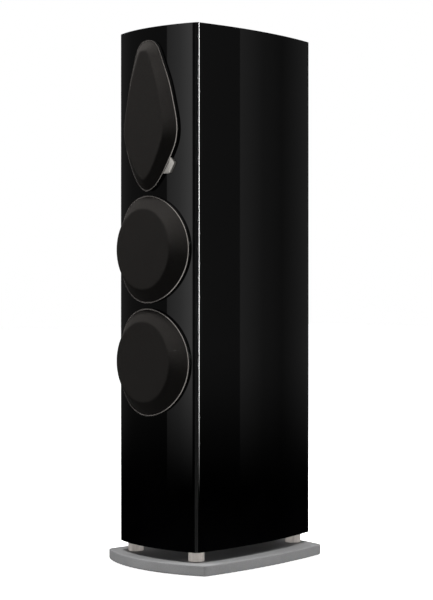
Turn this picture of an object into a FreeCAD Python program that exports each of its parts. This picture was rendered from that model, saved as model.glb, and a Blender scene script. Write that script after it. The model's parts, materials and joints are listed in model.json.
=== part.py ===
import FreeCAD, Part
import math
import os

# Floorstanding three-way loudspeaker, in millimetres.
# Z is up from the floor, the front faces -Y, and +X is on the right seen from the front.
# The model is built with y = 0 at the middle of the cabinet's side faces. It is then moved
# along Y as a whole, so that the origin lies on the floor under the middle of the overall box.

V = FreeCAD.Vector

# ---- driving dimensions -------------------------------------------------------------------

# cabinet plan: bowed front, sides that curve in towards a narrow back
FRONT_HALF_WIDTH = 121.8
REAR_HALF_WIDTH = 61.0
HALF_DEPTH = 188.85
FRONT_BOW = 22.5
SIDE_BOW = 19.6
FRONT_CORNER_RADIUS = 9.0
REAR_CORNER_RADIUS = 6.0

# heights, from the floor up
PAD_THICKNESS = 2.0
PLATE_THICKNESS = 22.0
SPACER_HEIGHT = 20.6
CABINET_HEIGHT = 1060.0
PLATE_TOP = PAD_THICKNESS + PLATE_THICKNESS
CABINET_BOTTOM = PLATE_TOP + SPACER_HEIGHT
CABINET_TOP = CABINET_BOTTOM + CABINET_HEIGHT

# panels
SIDE_THICKNESS = 18.0
TOP_THICKNESS = 22.0
BOTTOM_THICKNESS = 25.0
REAR_THICKNESS = 22.0
BAFFLE_BACK_Y = -160.0
REAR_INNER_Y = HALF_DEPTH - REAR_THICKNESS
INNER_TOP = CABINET_TOP - TOP_THICKNESS
INNER_BOTTOM = CABINET_BOTTOM + BOTTOM_THICKNESS
BRACE_HEIGHTS = (300.0, 537.0, 744.0)
BRACE_THICKNESS = 18.0
BRACE_RIM = 34.0

# base plate plan
PLATE_FRONT_HALF_WIDTH = 153.0
PLATE_FRONT_Y = -194.5
PLATE_NOSE_Y = -236.0
PLATE_REAR_HALF_WIDTH = 108.0
PLATE_REAR_Y = 178.0
PLATE_TAIL_Y = 190.0
PLATE_SIDE_BOW = 15.0
PLATE_CORNER_RADIUS = 10.0
PLATE_UPPER_ROUND = 2.4
PLATE_LOWER_ROUND = 4.0

# spacers with a bolt through each, and pads under the plate, as (x, y) on the right-hand side
FRONT_SPACER = (95.5, -168.0)
REAR_SPACER = (43.0, 157.5)
SPACER_RADIUS = 16.2
BOLT_RADIUS = 4.0
BOLT_HEAD_RADIUS = 6.5
BOLT_HEAD_HEIGHT = 8.0
BOLT_REACH = 18.0
PAD_RADIUS = 12.0
FRONT_PAD = (125.0, -150.0)
REAR_PAD = (80.0, 150.0)

# woofers
WOOFER_HEIGHTS = {"upper": 652.0, "lower": 422.5}
TRIM_OUTER_RADIUS = 109.2
TRIM_WIDTH = 2.1
TRIM_PROUD = 6.5
TRIM_SUNK = 3.0
FLANGE_RADIUS = 102.0
FLANGE_THICKNESS = 6.0
FLANGE_FRONT_Y = -195.5
SEAT_Y = FLANGE_FRONT_Y + FLANGE_THICKNESS
BASKET_HOLE_RADIUS = 90.5
WOOFER_SCREW_RADIUS = 97.0
WOOFER_SCREWS = 8

# grilles: a flat face, and a skirt that slopes back to the curved baffle
GRILLE_FACE_RADIUS = 83.0
WOOFER_GRILLE_FACE_Y = -230.7
ARRAY_GRILLE_FACE_Y = -228.6
GRILLE_EDGE_GAP = 0.4
GRILLE_EDGE_PROUD = 6.0
GRILLE_LIFT = 0.6
CLOTH_THICKNESS = 0.8
GRILLE_WALL = 3.0
GRILLE_RIM = 14.0
GRILLE_BAR_HALF_WIDTH = 4.0
SKIRT_POINTS = 48

# right half of the kite-shaped trim's outline, as (x, z) from its top to its bottom
KITE_HALF = (
    (0.0, 1077.5),
    (17.5, 1074.6),
    (29.6, 1065.0),
    (43.5, 1038.0),
    (61.5, 994.0),
    (75.6, 941.0),
    (82.8, 897.0),
    (79.8, 869.6),
    (64.6, 835.6),
    (44.4, 803.0),
    (23.0, 779.8),
    (0.0, 770.5),
)
KITE_SKIRT_INSET = 21.5
ARRAY_PLATE_FRONT_Y = -199.0
ARRAY_PLATE_INSET = 8.3
ARRAY_SCREWS = ((52.0, 962.0), (47.0, 845.0), (22.0, 1050.0))
ARRAY_MAGNETS = ((64.0, 897.0), (-64.0, 897.0), (0.0, 1048.0))

# small tab on the kite trim's lower right: two points (x, z) that its long edge passes through
# from its upper end, its length, how far each end leans in, its width and its height
TAB_START = (65.4, 837.2)
TAB_END = (45.6, 804.6)
TAB_LENGTH = 38.0
TAB_UPPER_TAPER = 5.0
TAB_LOWER_TAPER = 8.5
TAB_WIDTH = 14.2
TAB_PROUD = 5.8

# dome drivers of the array: height, dome radius, dome rise, throat and mouth radius, motor radius
# and depth
TWEETER = {
    "z": 897.0,
    "dome": 14.0,
    "rise": 5.0,
    "throat": 17.4,
    "mouth": 31.0,
    "motor": 33.0,
    "depth": 30.0,
}
MIDRANGE = {
    "dome": 27.0,
    "rise": 8.5,
    "throat": 31.6,
    "mouth": 38.0,
    "motor": 37.0,
    "depth": 39.5,
}
MIDRANGE_HEIGHTS = {"upper": 975.0, "lower": 819.0}

# chamber behind the array
CHAMBER_HALF_WIDTH = 80.0
CHAMBER_BOTTOM = 762.0
CHAMBER_TOP = 1062.0
CHAMBER_DEPTH = 120.0
CHAMBER_WALL = 12.0

# downward-firing port
PORT_Y = 62.0
PORT_RADIUS = 38.0
PORT_WALL = 3.0
PORT_LENGTH = 210.0
PORT_FLARE = 12.0
PORT_FLANGE_RADIUS = 56.0
PORT_FLANGE_THICKNESS = 4.0

# connection plate and posts on the rear
TERMINAL_Z = 157.0
TERMINAL_HALF_SIZE = 42.0
TERMINAL_THICKNESS = 3.0
TERMINAL_HOLE_HALF_SIZE = 30.0
POST_X = 17.5
POST_RISE = 9.5
POST_LENGTH = 32.0
POST_RADIUS = 4.0
SOCKET_RADIUS = 2.05
SOCKET_DEPTH = 20.0
NUT_RADIUS = 9.0
NUT_LENGTH = 22.0
NUT_FLUTES = 12
NUT_START = 7.0

# crossover
BOARD_HALF_WIDTH = 42.0
BOARD_LOW = 322.0
BOARD_HIGH = 516.0
BOARD_THICKNESS = 2.0
COIL_HEIGHTS = (352.0, 406.0, 460.0)
CAPACITOR_HEIGHTS = (334.0, 384.0, 434.0)

# damping foam on the side walls, in the three bays between the braces
LINING_THICKNESS = 10.0
LINING_BAYS = ((76.0, 286.0), (314.0, 523.0), (551.0, 730.0))

# panel screws
SCREW_HEAD_RADIUS = 4.2
SCREW_HEAD_HEIGHT = 2.5
SCREW_RADIUS = 2.3
SCREW_LENGTH = 22.0

MAGNET_RADIUS = 2.0
MAGNET_LENGTH = 2.8
MAGNET_RING_RADIUS = 104.6
FIT_GAP = 0.2

# ---- values worked out from the driving dimensions -----------------------------------------


def arc_radius(half_chord, bow):
    """Radius of the arc that stands up by bow over a chord of twice half_chord."""
    return (half_chord**2 + bow**2) / (2.0 * bow)


BAFFLE_RADIUS = arc_radius(FRONT_HALF_WIDTH, FRONT_BOW)
BAFFLE_AXIS_Y = BAFFLE_RADIUS - HALF_DEPTH - FRONT_BOW

SIDE_CHORD = V(REAR_HALF_WIDTH - FRONT_HALF_WIDTH, 2.0 * HALF_DEPTH, 0)
SIDE_NORMAL = V(SIDE_CHORD.y, -SIDE_CHORD.x, 0) / SIDE_CHORD.Length
SIDE_RADIUS = arc_radius(SIDE_CHORD.Length / 2.0, SIDE_BOW)
SIDE_CENTRE = V((FRONT_HALF_WIDTH + REAR_HALF_WIDTH) / 2.0, 0, 0) - SIDE_NORMAL * (
    SIDE_RADIUS - SIDE_BOW
)

FRONTMOST_Y = PLATE_NOSE_Y
REARMOST_Y = HALF_DEPTH + TERMINAL_THICKNESS + POST_LENGTH
TO_ORIGIN = V(0, -(FRONTMOST_Y + REARMOST_Y) / 2.0, 0)


def side_x(y, inset=0.0):
    """Half-width of the cabinet at depth y, to its side face moved inwards by inset."""
    return SIDE_CENTRE.x + math.sqrt((SIDE_RADIUS - inset) ** 2 - (y - SIDE_CENTRE.y) ** 2)


def baffle_y(x, proud=0.0):
    """Depth of the bowed baffle face at x, moved out along its normal by proud."""
    return BAFFLE_AXIS_Y - math.sqrt((BAFFLE_RADIUS + proud) ** 2 - x**2)


# ---- helpers ------------------------------------------------------------------------------


def block(x0, x1, y0, y1, z0, z1):
    """Rectangular block between two corners."""
    return Part.makeBox(x1 - x0, y1 - y0, z1 - z0, V(x0, y0, z0))


def rod_y(radius, x, z, y0, y1):
    """Cylinder along Y from y0 to y1."""
    return Part.makeCylinder(radius, y1 - y0, V(x, y0, z), V(0, 1, 0))


def rod_z(radius, x, y, z0, z1):
    """Cylinder along Z from z0 to z1."""
    return Part.makeCylinder(radius, z1 - z0, V(x, y, z0))


def group(shapes):
    """Separate solids that share one node."""
    return Part.makeCompound([solid for shape in shapes for solid in shape.Solids])


def edges_from(outline, to_point):
    """Edges of a closed outline. An entry of two numbers is a corner. An entry of four is an arc
    from the corner before, through the first pair, to the second pair."""
    start = to_point(*outline[0])
    first = start
    edges = []
    for entry in outline[1:]:
        end = to_point(*entry[-2:])
        if len(entry) == 4:
            edges.append(Part.Arc(start, to_point(*entry[:2]), end).toShape())
        else:
            edges.append(Part.makeLine(start, end))
        start = end
    if start.distanceToPoint(first) > 1e-6:
        edges.append(Part.makeLine(start, first))
    return edges


def turned(outline, z, y, x=0.0):
    """Solid turned about the Y axis through (x, z). The outline holds (radius, depth behind y)."""
    face = Part.Face(Part.Wire(edges_from(outline, lambda r, d: V(x + r, y + d, z))))
    return face.revolve(V(x, y, z), V(0, 1, 0), 360)


def turned_up(outline, x, y):
    """Solid turned about the Z axis through (x, y). The outline holds (radius, height)."""
    face = Part.Face(Part.Wire(edges_from(outline, lambda r, h: V(x + r, y, h))))
    return face.revolve(V(x, y, 0), V(0, 0, 1), 360)


def domed_cap(base_radius, rise, skin, z, base_y):
    """Thin spherical cap that bulges forwards from the plane base_y."""
    sphere = arc_radius(base_radius, rise)
    centre = V(0, base_y - rise + sphere, z)
    shell = Part.makeSphere(sphere + skin, centre).cut(Part.makeSphere(sphere, centre))
    return shell.common(rod_y(base_radius + skin, 0, z, base_y - rise - 2.0 * skin, base_y))


def prism_up(outline, z0, z1):
    """Solid with an (x, y) outline, from height z0 to z1."""
    face = Part.Face(Part.Wire(edges_from(outline, lambda px, py: V(px, py, z0))))
    return face.extrude(V(0, 0, z1 - z0))


def baffle_shell(low, high):
    """Everything between two surfaces parallel to the baffle face, low and high mm in front of it."""
    outer = rod_z(BAFFLE_RADIUS + high, 0, BAFFLE_AXIS_Y, CABINET_BOTTOM, CABINET_TOP)
    inner = rod_z(BAFFLE_RADIUS + low, 0, BAFFLE_AXIS_Y, CABINET_BOTTOM, CABINET_TOP)
    front = block(-200, 200, -400, BAFFLE_BACK_Y, CABINET_BOTTOM, CABINET_TOP)
    return outer.cut(inner).common(front)


def behind_baffle(proud):
    """Everything behind the surface that lies proud mm in front of the baffle face."""
    return rod_z(BAFFLE_RADIUS + proud, 0, BAFFLE_AXIS_Y, CABINET_BOTTOM, CABINET_TOP)


def four_corners(front, rear):
    """Both (x, y) places and their mirror images."""
    return [(side * x, y) for x, y in (front, rear) for side in (1, -1)]


# ---- outlines of the trims and grilles -----------------------------------------------------


def circle_points(radius, z):
    """Points round a circle about (0, z), as (x, z)."""
    turns = [2.0 * math.pi * i / SKIRT_POINTS for i in range(SKIRT_POINTS)]
    return [(radius * math.cos(a), z + radius * math.sin(a)) for a in turns]


def kite_curve():
    """Closed smooth curve through the kite's points."""
    left = [(-x, z) for x, z in reversed(KITE_HALF[1:-1])]
    curve = Part.BSplineCurve()
    curve.interpolate(Points=[V(x, 0, z) for x, z in list(KITE_HALF) + left], PeriodicFlag=True)
    return curve


KITE = kite_curve()


def kite_points(inset):
    """Evenly spaced points round the kite, moved inwards by inset, as (x, z)."""
    length = KITE.length()
    points = []
    for i in range(SKIRT_POINTS):
        t = KITE.parameterAtDistance(length * i / SKIRT_POINTS)
        place = KITE.value(t)
        along = KITE.tangent(t)[0]
        points.append((place.x - inset * -along.z, place.z - inset * along.x))
    return points


def smooth_wire(points, y):
    """Closed smooth wire through (x, z) points in the plane y, with evenly spaced parameters."""
    curve = Part.BSplineCurve()
    curve.interpolate(
        Points=[V(px, y, pz) for px, pz in points],
        PeriodicFlag=True,
        Parameters=[float(i) for i in range(len(points) + 1)],
    )
    return Part.Wire(curve.toShape())


def prism_y(points, y0, y1):
    """Solid with a smooth (x, z) outline, from depth y0 to y1."""
    return Part.Face(smooth_wire(points, y0)).extrude(V(0, y1 - y0, 0))


def sloped_form(face_points, edge_points, face_y):
    """Solid with a flat front at face_y, whose flanks run straight through edge points that lie
    GRILLE_EDGE_PROUD in front of the curved baffle."""
    back_y = BAFFLE_BACK_Y
    back_points = []
    for (fx, fz), (ex, ez) in zip(face_points, edge_points):
        reach = (back_y - face_y) / (baffle_y(ex, GRILLE_EDGE_PROUD) - face_y)
        back_points.append((fx + (ex - fx) * reach, fz + (ez - fz) * reach))
    return Part.makeLoft([smooth_wire(face_points, face_y), smooth_wire(back_points, back_y)], True, True)


def grille_forms(outline, skirt_inset, face_y):
    """The grille's outer form, and the forms one cloth and one frame wall further in. outline is a
    function that gives the trim's inner edge moved inwards."""
    forms = []
    for wall in (0.0, CLOTH_THICKNESS, CLOTH_THICKNESS + GRILLE_WALL):
        face_points = outline(skirt_inset + wall)
        edge_points = outline(TRIM_WIDTH + GRILLE_EDGE_GAP + wall)
        rim = prism_y(edge_points, face_y - 1.0, BAFFLE_BACK_Y + 1.0)
        form = sloped_form(face_points, edge_points, face_y + wall)
        forms.append(form.common(rim).cut(behind_baffle(GRILLE_LIFT)))
    return forms


def make_grille(outline, skirt_inset, face_y, z):
    """Cloth skin, and the frame that it is stretched over, with an open front and crossed bars."""
    outer, under_cloth, inside = grille_forms(outline, skirt_inset, face_y)
    cloth = outer.cut(under_cloth)
    window = prism_y(outline(skirt_inset + GRILLE_RIM), face_y - 1.0, BAFFLE_BACK_Y)
    upright = block(-GRILLE_BAR_HALF_WIDTH, GRILLE_BAR_HALF_WIDTH, -300, 0, 0, CABINET_TOP)
    crossbar = block(-200, 200, -300, 0, z - GRILLE_BAR_HALF_WIDTH, z + GRILLE_BAR_HALF_WIDTH)
    frame = under_cloth.cut(inside).cut(window.cut(upright).cut(crossbar))
    return frame, cloth


def make_trim(outline):
    """Thin band round a grille, standing a little proud of the curved baffle."""
    band = prism_y(outline(0.0), -300, BAFFLE_BACK_Y).cut(prism_y(outline(TRIM_WIDTH), -301, 0))
    return band.common(baffle_shell(-TRIM_SUNK, TRIM_PROUD))


def trim_groove(outline):
    """Groove in the baffle that a trim sits in, a little wider than the trim."""
    outer = prism_y(outline(-FIT_GAP / 2), -300, BAFFLE_BACK_Y)
    inner = prism_y(outline(TRIM_WIDTH + FIT_GAP / 2), -301, 0)
    return outer.cut(inner).common(baffle_shell(-TRIM_SUNK - FIT_GAP / 2, 20.0))


def woofer_outline(z):
    """Function that gives the woofer trim's outline, moved inwards."""
    return lambda inset: circle_points(TRIM_OUTER_RADIUS - inset, z)


# ---- screws and magnets --------------------------------------------------------------------


def screw_places():
    """(x, z) of every screw in the front, with the plane under its head."""
    places = []
    for z in WOOFER_HEIGHTS.values():
        for i in range(WOOFER_SCREWS):
            turn = math.radians(360.0 * (i + 0.5) / WOOFER_SCREWS)
            x = WOOFER_SCREW_RADIUS * math.cos(turn)
            places.append((x, z + WOOFER_SCREW_RADIUS * math.sin(turn), FLANGE_FRONT_Y))
    for x, z in ARRAY_SCREWS:
        places += [(x, z, ARRAY_PLATE_FRONT_Y), (-x, z, ARRAY_PLATE_FRONT_Y)]
    return places


def rear_screw_places():
    """(x, z) of the connection plate's four screws."""
    reach = TERMINAL_HALF_SIZE - 7.0
    return [(sx * reach, TERMINAL_Z + sz * reach) for sx in (1, -1) for sz in (1, -1)]


def make_screw(x, z, y, inward):
    """Pan-head screw whose head rests on the plane y, with its shank pointing along inward."""
    head_end = y - inward * SCREW_HEAD_HEIGHT
    head = rod_y(SCREW_HEAD_RADIUS, x, z, min(y, head_end), max(y, head_end))
    shank_end = y + inward * SCREW_LENGTH
    shank = rod_y(SCREW_RADIUS, x, z, min(y, shank_end), max(y, shank_end))
    socket = rod_y(SCREW_HEAD_RADIUS / 2, x, z, min(head_end, y), max(head_end, y))
    recess = socket.translated(V(0, -inward * SCREW_HEAD_HEIGHT * 0.4, 0))
    return head.fuse(shank).removeSplitter().cut(recess)


def panel_screws():
    front = [make_screw(x, z, y, 1) for x, z, y in screw_places()]
    rear_y = HALF_DEPTH + TERMINAL_THICKNESS
    rear = [make_screw(x, z, rear_y, -1) for x, z in rear_screw_places()]
    return group(front + rear)


def screw_holes(x, z, y0, y1):
    return rod_y(SCREW_RADIUS + FIT_GAP, x, z, y0, y1)


def magnet_places():
    """(x, z, depth of the front face) of every grille magnet."""
    places = []
    for z in WOOFER_HEIGHTS.values():
        for i in range(4):
            turn = math.radians(90.0 * i + 45.0)
            x = MAGNET_RING_RADIUS * math.cos(turn)
            height = z + MAGNET_RING_RADIUS * math.sin(turn)
            places.append((x, height, baffle_y(abs(x) + MAGNET_RADIUS) + FIT_GAP))
    for x, z in ARRAY_MAGNETS:
        places.append((x, z, ARRAY_PLATE_FRONT_Y))
    return places


def grille_magnets():
    return group([rod_y(MAGNET_RADIUS, x, z, y, y + MAGNET_LENGTH) for x, z, y in magnet_places()])


def magnet_pockets():
    reach = 20.0
    return group(
        [
            rod_y(MAGNET_RADIUS + FIT_GAP / 2, x, z, y - reach, y + MAGNET_LENGTH)
            for x, z, y in magnet_places()
        ]
    )


# ---- cabinet ------------------------------------------------------------------------------


def cabinet_form():
    """Whole outside of the cabinet as one solid, with rounded upright corners."""
    middle_y = SIDE_CENTRE.y
    middle_x = side_x(middle_y)
    outline = (
        (-FRONT_HALF_WIDTH, -HALF_DEPTH),
        (0.0, -HALF_DEPTH - FRONT_BOW, FRONT_HALF_WIDTH, -HALF_DEPTH),
        (middle_x, middle_y, REAR_HALF_WIDTH, HALF_DEPTH),
        (-REAR_HALF_WIDTH, HALF_DEPTH),
        (-middle_x, middle_y, -FRONT_HALF_WIDTH, -HALF_DEPTH),
    )
    form = prism_up(outline, CABINET_BOTTOM, CABINET_TOP)
    for corner_x, corner_y, radius in (
        (FRONT_HALF_WIDTH, -HALF_DEPTH, FRONT_CORNER_RADIUS),
        (REAR_HALF_WIDTH, HALF_DEPTH, REAR_CORNER_RADIUS),
    ):
        edges = [
            edge
            for edge in form.Edges
            if edge.Length > CABINET_HEIGHT - 1.0
            and abs(abs(edge.CenterOfMass.x) - corner_x) < 0.5
            and abs(edge.CenterOfMass.y - corner_y) < 0.5
        ]
        form = form.makeFillet(radius, edges)
    return form


def inner_space(inset, y0, y1, z0, z1):
    """Space inside the side walls, inset mm in from the cabinet's side faces."""
    middle_y = (y0 + y1) / 2.0
    outline = (
        (-side_x(y0, inset), y0),
        (side_x(y0, inset), y0),
        (side_x(middle_y, inset), middle_y, side_x(y1, inset), y1),
        (-side_x(y1, inset), y1),
        (-side_x(middle_y, inset), middle_y, -side_x(y0, inset), y0),
    )
    return prism_up(outline, z0, z1)


def slab(z0, z1, y0=-300.0, y1=300.0, x0=-300.0, x1=300.0):
    return block(x0, x1, y0, y1, z0, z1)


CABINET_FORM = cabinet_form()


def front_baffle():
    """Thick bowed front with stepped pockets for the drivers and grooves for the trims."""
    baffle = CABINET_FORM.common(slab(INNER_BOTTOM, INNER_TOP, y1=BAFFLE_BACK_Y))
    cuts = [magnet_pockets()]
    for z in WOOFER_HEIGHTS.values():
        cuts.append(rod_y(FLANGE_RADIUS + FIT_GAP, 0, z, -300, SEAT_Y))
        cuts.append(rod_y(BASKET_HOLE_RADIUS, 0, z, SEAT_Y, 0))
        cuts.append(trim_groove(woofer_outline(z)))
    cuts.append(prism_y(kite_points(ARRAY_PLATE_INSET - FIT_GAP), -300, SEAT_Y))
    cuts.append(trim_groove(kite_points))
    cuts.append(rod_y(TWEETER["motor"] + 1.5, 0, TWEETER["z"], SEAT_Y, 0))
    for z in MIDRANGE_HEIGHTS.values():
        cuts.append(rod_y(MIDRANGE["motor"] + 1.5, 0, z, SEAT_Y, 0))
    for x, z, y in screw_places():
        cuts.append(screw_holes(x, z, y, y + SCREW_LENGTH + FIT_GAP))
    return baffle.cut(cuts)


def side_panel(side):
    """Curved side wall between the baffle and the rear panel. side is 1 for right, -1 for left."""
    span = slab(INNER_BOTTOM, INNER_TOP, BAFFLE_BACK_Y, REAR_INNER_Y, min(0, 300 * side), max(0, 300 * side))
    hollow = inner_space(SIDE_THICKNESS, BAFFLE_BACK_Y - 1, REAR_INNER_Y + 1, 0, CABINET_TOP)
    return CABINET_FORM.common(span).cut(hollow)


def top_panel():
    return CABINET_FORM.common(slab(INNER_TOP, CABINET_TOP))


def bottom_panel():
    """Floor of the cabinet with the port hole and four blind bolt holes."""
    panel = CABINET_FORM.common(slab(CABINET_BOTTOM, INNER_BOTTOM))
    flange_top = CABINET_BOTTOM + PORT_FLANGE_THICKNESS + FIT_GAP
    cuts = [
        rod_z(PORT_RADIUS + PORT_WALL + FIT_GAP + PORT_FLARE, 0, PORT_Y, 0, INNER_BOTTOM + 1),
        rod_z(PORT_FLANGE_RADIUS + FIT_GAP, 0, PORT_Y, 0, flange_top),
    ]
    for x, y in four_corners(FRONT_SPACER, REAR_SPACER):
        cuts.append(rod_z(BOLT_RADIUS + FIT_GAP, x, y, 0, CABINET_BOTTOM + BOLT_REACH + 2.0))
    return panel.cut(cuts)


def rear_panel():
    """Back wall with the square hole behind the connection plate."""
    panel = CABINET_FORM.common(slab(INNER_BOTTOM, INNER_TOP, y0=REAR_INNER_Y))
    half = TERMINAL_HOLE_HALF_SIZE
    cuts = [block(-half, half, 0, 300, TERMINAL_Z - half, TERMINAL_Z + half)]
    for x, z in rear_screw_places():
        cuts.append(screw_holes(x, z, HALF_DEPTH - SCREW_LENGTH + TERMINAL_THICKNESS - FIT_GAP, 300))
    return panel.cut(cuts)


def shelf_braces():
    """Three shelves with a window, glued between the side walls."""
    braces = []
    for z in BRACE_HEIGHTS:
        low = z - BRACE_THICKNESS / 2.0
        high = z + BRACE_THICKNESS / 2.0
        shelf = inner_space(SIDE_THICKNESS + FIT_GAP, BAFFLE_BACK_Y, REAR_INNER_Y, low, high)
        front = BAFFLE_BACK_Y + BRACE_RIM
        back = REAR_INNER_Y - BRACE_RIM
        window = inner_space(SIDE_THICKNESS + BRACE_RIM, front, back, low - 1, high + 1)
        braces.append(shelf.cut(window))
    return group(braces)


def midrange_chamber():
    """Five-sided box glued behind the array, open towards the baffle."""
    back = BAFFLE_BACK_Y + CHAMBER_DEPTH
    outer = block(-CHAMBER_HALF_WIDTH, CHAMBER_HALF_WIDTH, BAFFLE_BACK_Y, back, CHAMBER_BOTTOM, CHAMBER_TOP)
    inner = block(
        CHAMBER_WALL - CHAMBER_HALF_WIDTH,
        CHAMBER_HALF_WIDTH - CHAMBER_WALL,
        BAFFLE_BACK_Y - 1,
        back - CHAMBER_WALL,
        CHAMBER_BOTTOM + CHAMBER_WALL,
        CHAMBER_TOP - CHAMBER_WALL,
    )
    return outer.cut(inner)


def port_tube():
    """Tube with a flared mouth at each end and a flange let into the bottom panel."""
    low = CABINET_BOTTOM
    high = CABINET_BOTTOM + PORT_LENGTH
    flange_top = low + PORT_FLANGE_THICKNESS
    bulge = PORT_FLARE * (1.0 - math.sqrt(0.5))
    outer = PORT_RADIUS + PORT_WALL
    outline = (
        (PORT_RADIUS + PORT_FLARE, low),
        (PORT_FLANGE_RADIUS, low),
        (PORT_FLANGE_RADIUS, flange_top),
        (outer + PORT_FLARE, flange_top),
        (outer + bulge, flange_top + bulge, outer, flange_top + PORT_FLARE),
        (outer, high - PORT_FLARE),
        (outer + bulge, high - bulge, outer + PORT_FLARE, high),
        (PORT_RADIUS + PORT_FLARE, high),
        (PORT_RADIUS + bulge, high - bulge, PORT_RADIUS, high - PORT_FLARE),
        (PORT_RADIUS, low + PORT_FLARE),
        (PORT_RADIUS + bulge, low + bulge, PORT_RADIUS + PORT_FLARE, low),
    )
    return turned_up(outline, 0, PORT_Y)


def damping_lining():
    """Foam sheets on both side walls, one pair in each bay between the braces."""
    sheets = []
    for low, high in LINING_BAYS:
        outer = inner_space(SIDE_THICKNESS + FIT_GAP, -140, 130, low, high)
        inner = inner_space(SIDE_THICKNESS + FIT_GAP + LINING_THICKNESS, -141, 131, low - 1, high + 1)
        sheets.append(outer.cut(inner))
    return group(sheets)


# ---- base ---------------------------------------------------------------------------------


def base_plate():
    """Bowed metal plate with rounded rims and counterbored bolt holes from below."""
    chord = V(PLATE_REAR_HALF_WIDTH - PLATE_FRONT_HALF_WIDTH, PLATE_REAR_Y - PLATE_FRONT_Y, 0)
    outward = V(chord.y, -chord.x, 0) / chord.Length
    middle = V(
        (PLATE_FRONT_HALF_WIDTH + PLATE_REAR_HALF_WIDTH) / 2.0, (PLATE_FRONT_Y + PLATE_REAR_Y) / 2.0, 0
    )
    bowed = middle + outward * PLATE_SIDE_BOW
    outline = (
        (-PLATE_FRONT_HALF_WIDTH, PLATE_FRONT_Y),
        (0.0, PLATE_NOSE_Y, PLATE_FRONT_HALF_WIDTH, PLATE_FRONT_Y),
        (bowed.x, bowed.y, PLATE_REAR_HALF_WIDTH, PLATE_REAR_Y),
        (0.0, PLATE_TAIL_Y, -PLATE_REAR_HALF_WIDTH, PLATE_REAR_Y),
        (-bowed.x, bowed.y, -PLATE_FRONT_HALF_WIDTH, PLATE_FRONT_Y),
    )
    plate = prism_up(outline, PAD_THICKNESS, PLATE_TOP)
    upright = [e for e in plate.Edges if abs(e.Length - PLATE_THICKNESS) < 0.01]
    plate = plate.makeFillet(PLATE_CORNER_RADIUS, upright)
    for level, radius in ((PLATE_TOP, PLATE_UPPER_ROUND), (PAD_THICKNESS, PLATE_LOWER_ROUND)):
        rim = [e for e in plate.Edges if abs(e.CenterOfMass.z - level) < 0.01]
        plate = plate.makeFillet(radius, rim)
    cuts = []
    for x, y in four_corners(FRONT_SPACER, REAR_SPACER):
        cuts.append(rod_z(BOLT_RADIUS + FIT_GAP, x, y, 0, PLATE_TOP + 1))
        cuts.append(rod_z(BOLT_HEAD_RADIUS + 0.7, x, y, 0, bolt_head_top()))
    return plate.cut(cuts)


def bolt_head_top():
    """Height of the shoulder that the bolt heads pull against."""
    return PAD_THICKNESS + BOLT_HEAD_HEIGHT + 4.0


def base_spacers():
    """Four metal columns between the plate and the cabinet, with a fine break on both rims."""
    spacers = []
    break_width = 0.6
    inner = BOLT_RADIUS + FIT_GAP
    for x, y in four_corners(FRONT_SPACER, REAR_SPACER):
        outline = (
            (inner, PLATE_TOP),
            (SPACER_RADIUS - break_width, PLATE_TOP),
            (SPACER_RADIUS, PLATE_TOP + break_width),
            (SPACER_RADIUS, CABINET_BOTTOM - break_width),
            (SPACER_RADIUS - break_width, CABINET_BOTTOM),
            (inner, CABINET_BOTTOM),
        )
        spacers.append(turned_up(outline, x, y))
    return group(spacers)


def spacer_bolts():
    """Socket-head bolts, from the plate's underside up into the cabinet floor."""
    bolts = []
    top = bolt_head_top()
    for x, y in four_corners(FRONT_SPACER, REAR_SPACER):
        head = rod_z(BOLT_HEAD_RADIUS, x, y, top - BOLT_HEAD_HEIGHT, top)
        shank = rod_z(BOLT_RADIUS, x, y, top, CABINET_BOTTOM + BOLT_REACH)
        socket = rod_z(BOLT_RADIUS * 0.8, x, y, top - BOLT_HEAD_HEIGHT, top - BOLT_HEAD_HEIGHT / 2.0)
        bolts.append(head.fuse(shank).removeSplitter().cut(socket))
    return group(bolts)


def floor_pads():
    return group([rod_z(PAD_RADIUS, x, y, 0, PAD_THICKNESS) for x, y in four_corners(FRONT_PAD, REAR_PAD)])


# ---- woofers ------------------------------------------------------------------------------

# depths behind the front plane of the basket flange
BASKET_WINDOWS = 6
ROLL_OUTER = 86.0
ROLL_INNER = 70.0
ROLL_HEIGHT = 8.0
SURROUND_THICKNESS = 1.0
SPIDER_DEPTH = 48.0
TOP_PLATE_DEPTH = 66.0
MAGNET_DEPTH = 74.0
BACK_PLATE_DEPTH = 94.0
MOTOR_END_DEPTH = 102.0


def basket(z):
    """Cast frame: flange, six struts, a shelf for the spider and a rear ring for the motor."""
    outline = (
        (86.0, 0.0),
        (FLANGE_RADIUS, 0.0),
        (FLANGE_RADIUS, FLANGE_THICKNESS),
        (89.5, FLANGE_THICKNESS),
        (89.5, 12.0),
        (60.0, 58.0),
        (60.0, TOP_PLATE_DEPTH),
        (24.0, TOP_PLATE_DEPTH),
        (24.0, 60.0),
        (56.5, 60.0),
        (58.0, 52.5),
        (48.0, 52.5),
        (48.0, 50.0),
        (60.0, 50.0),
        (86.0, 10.0),
    )
    body = turned(outline, z, FLANGE_FRONT_Y)
    cuts = []
    for i in range(BASKET_WINDOWS):
        window = block(-24, 24, FLANGE_FRONT_Y + 15, FLANGE_FRONT_Y + 46, z + 50, z + 100)
        window.rotate(V(0, 0, z), V(0, 1, 0), 360.0 * i / BASKET_WINDOWS)
        cuts.append(window)
    for x, screw_z, y in screw_places():
        if abs(screw_z - z) < FLANGE_RADIUS and y == FLANGE_FRONT_Y:
            cuts.append(screw_holes(x, screw_z, y - 1, y + FLANGE_THICKNESS + 1))
    return body.cut(cuts)


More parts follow.
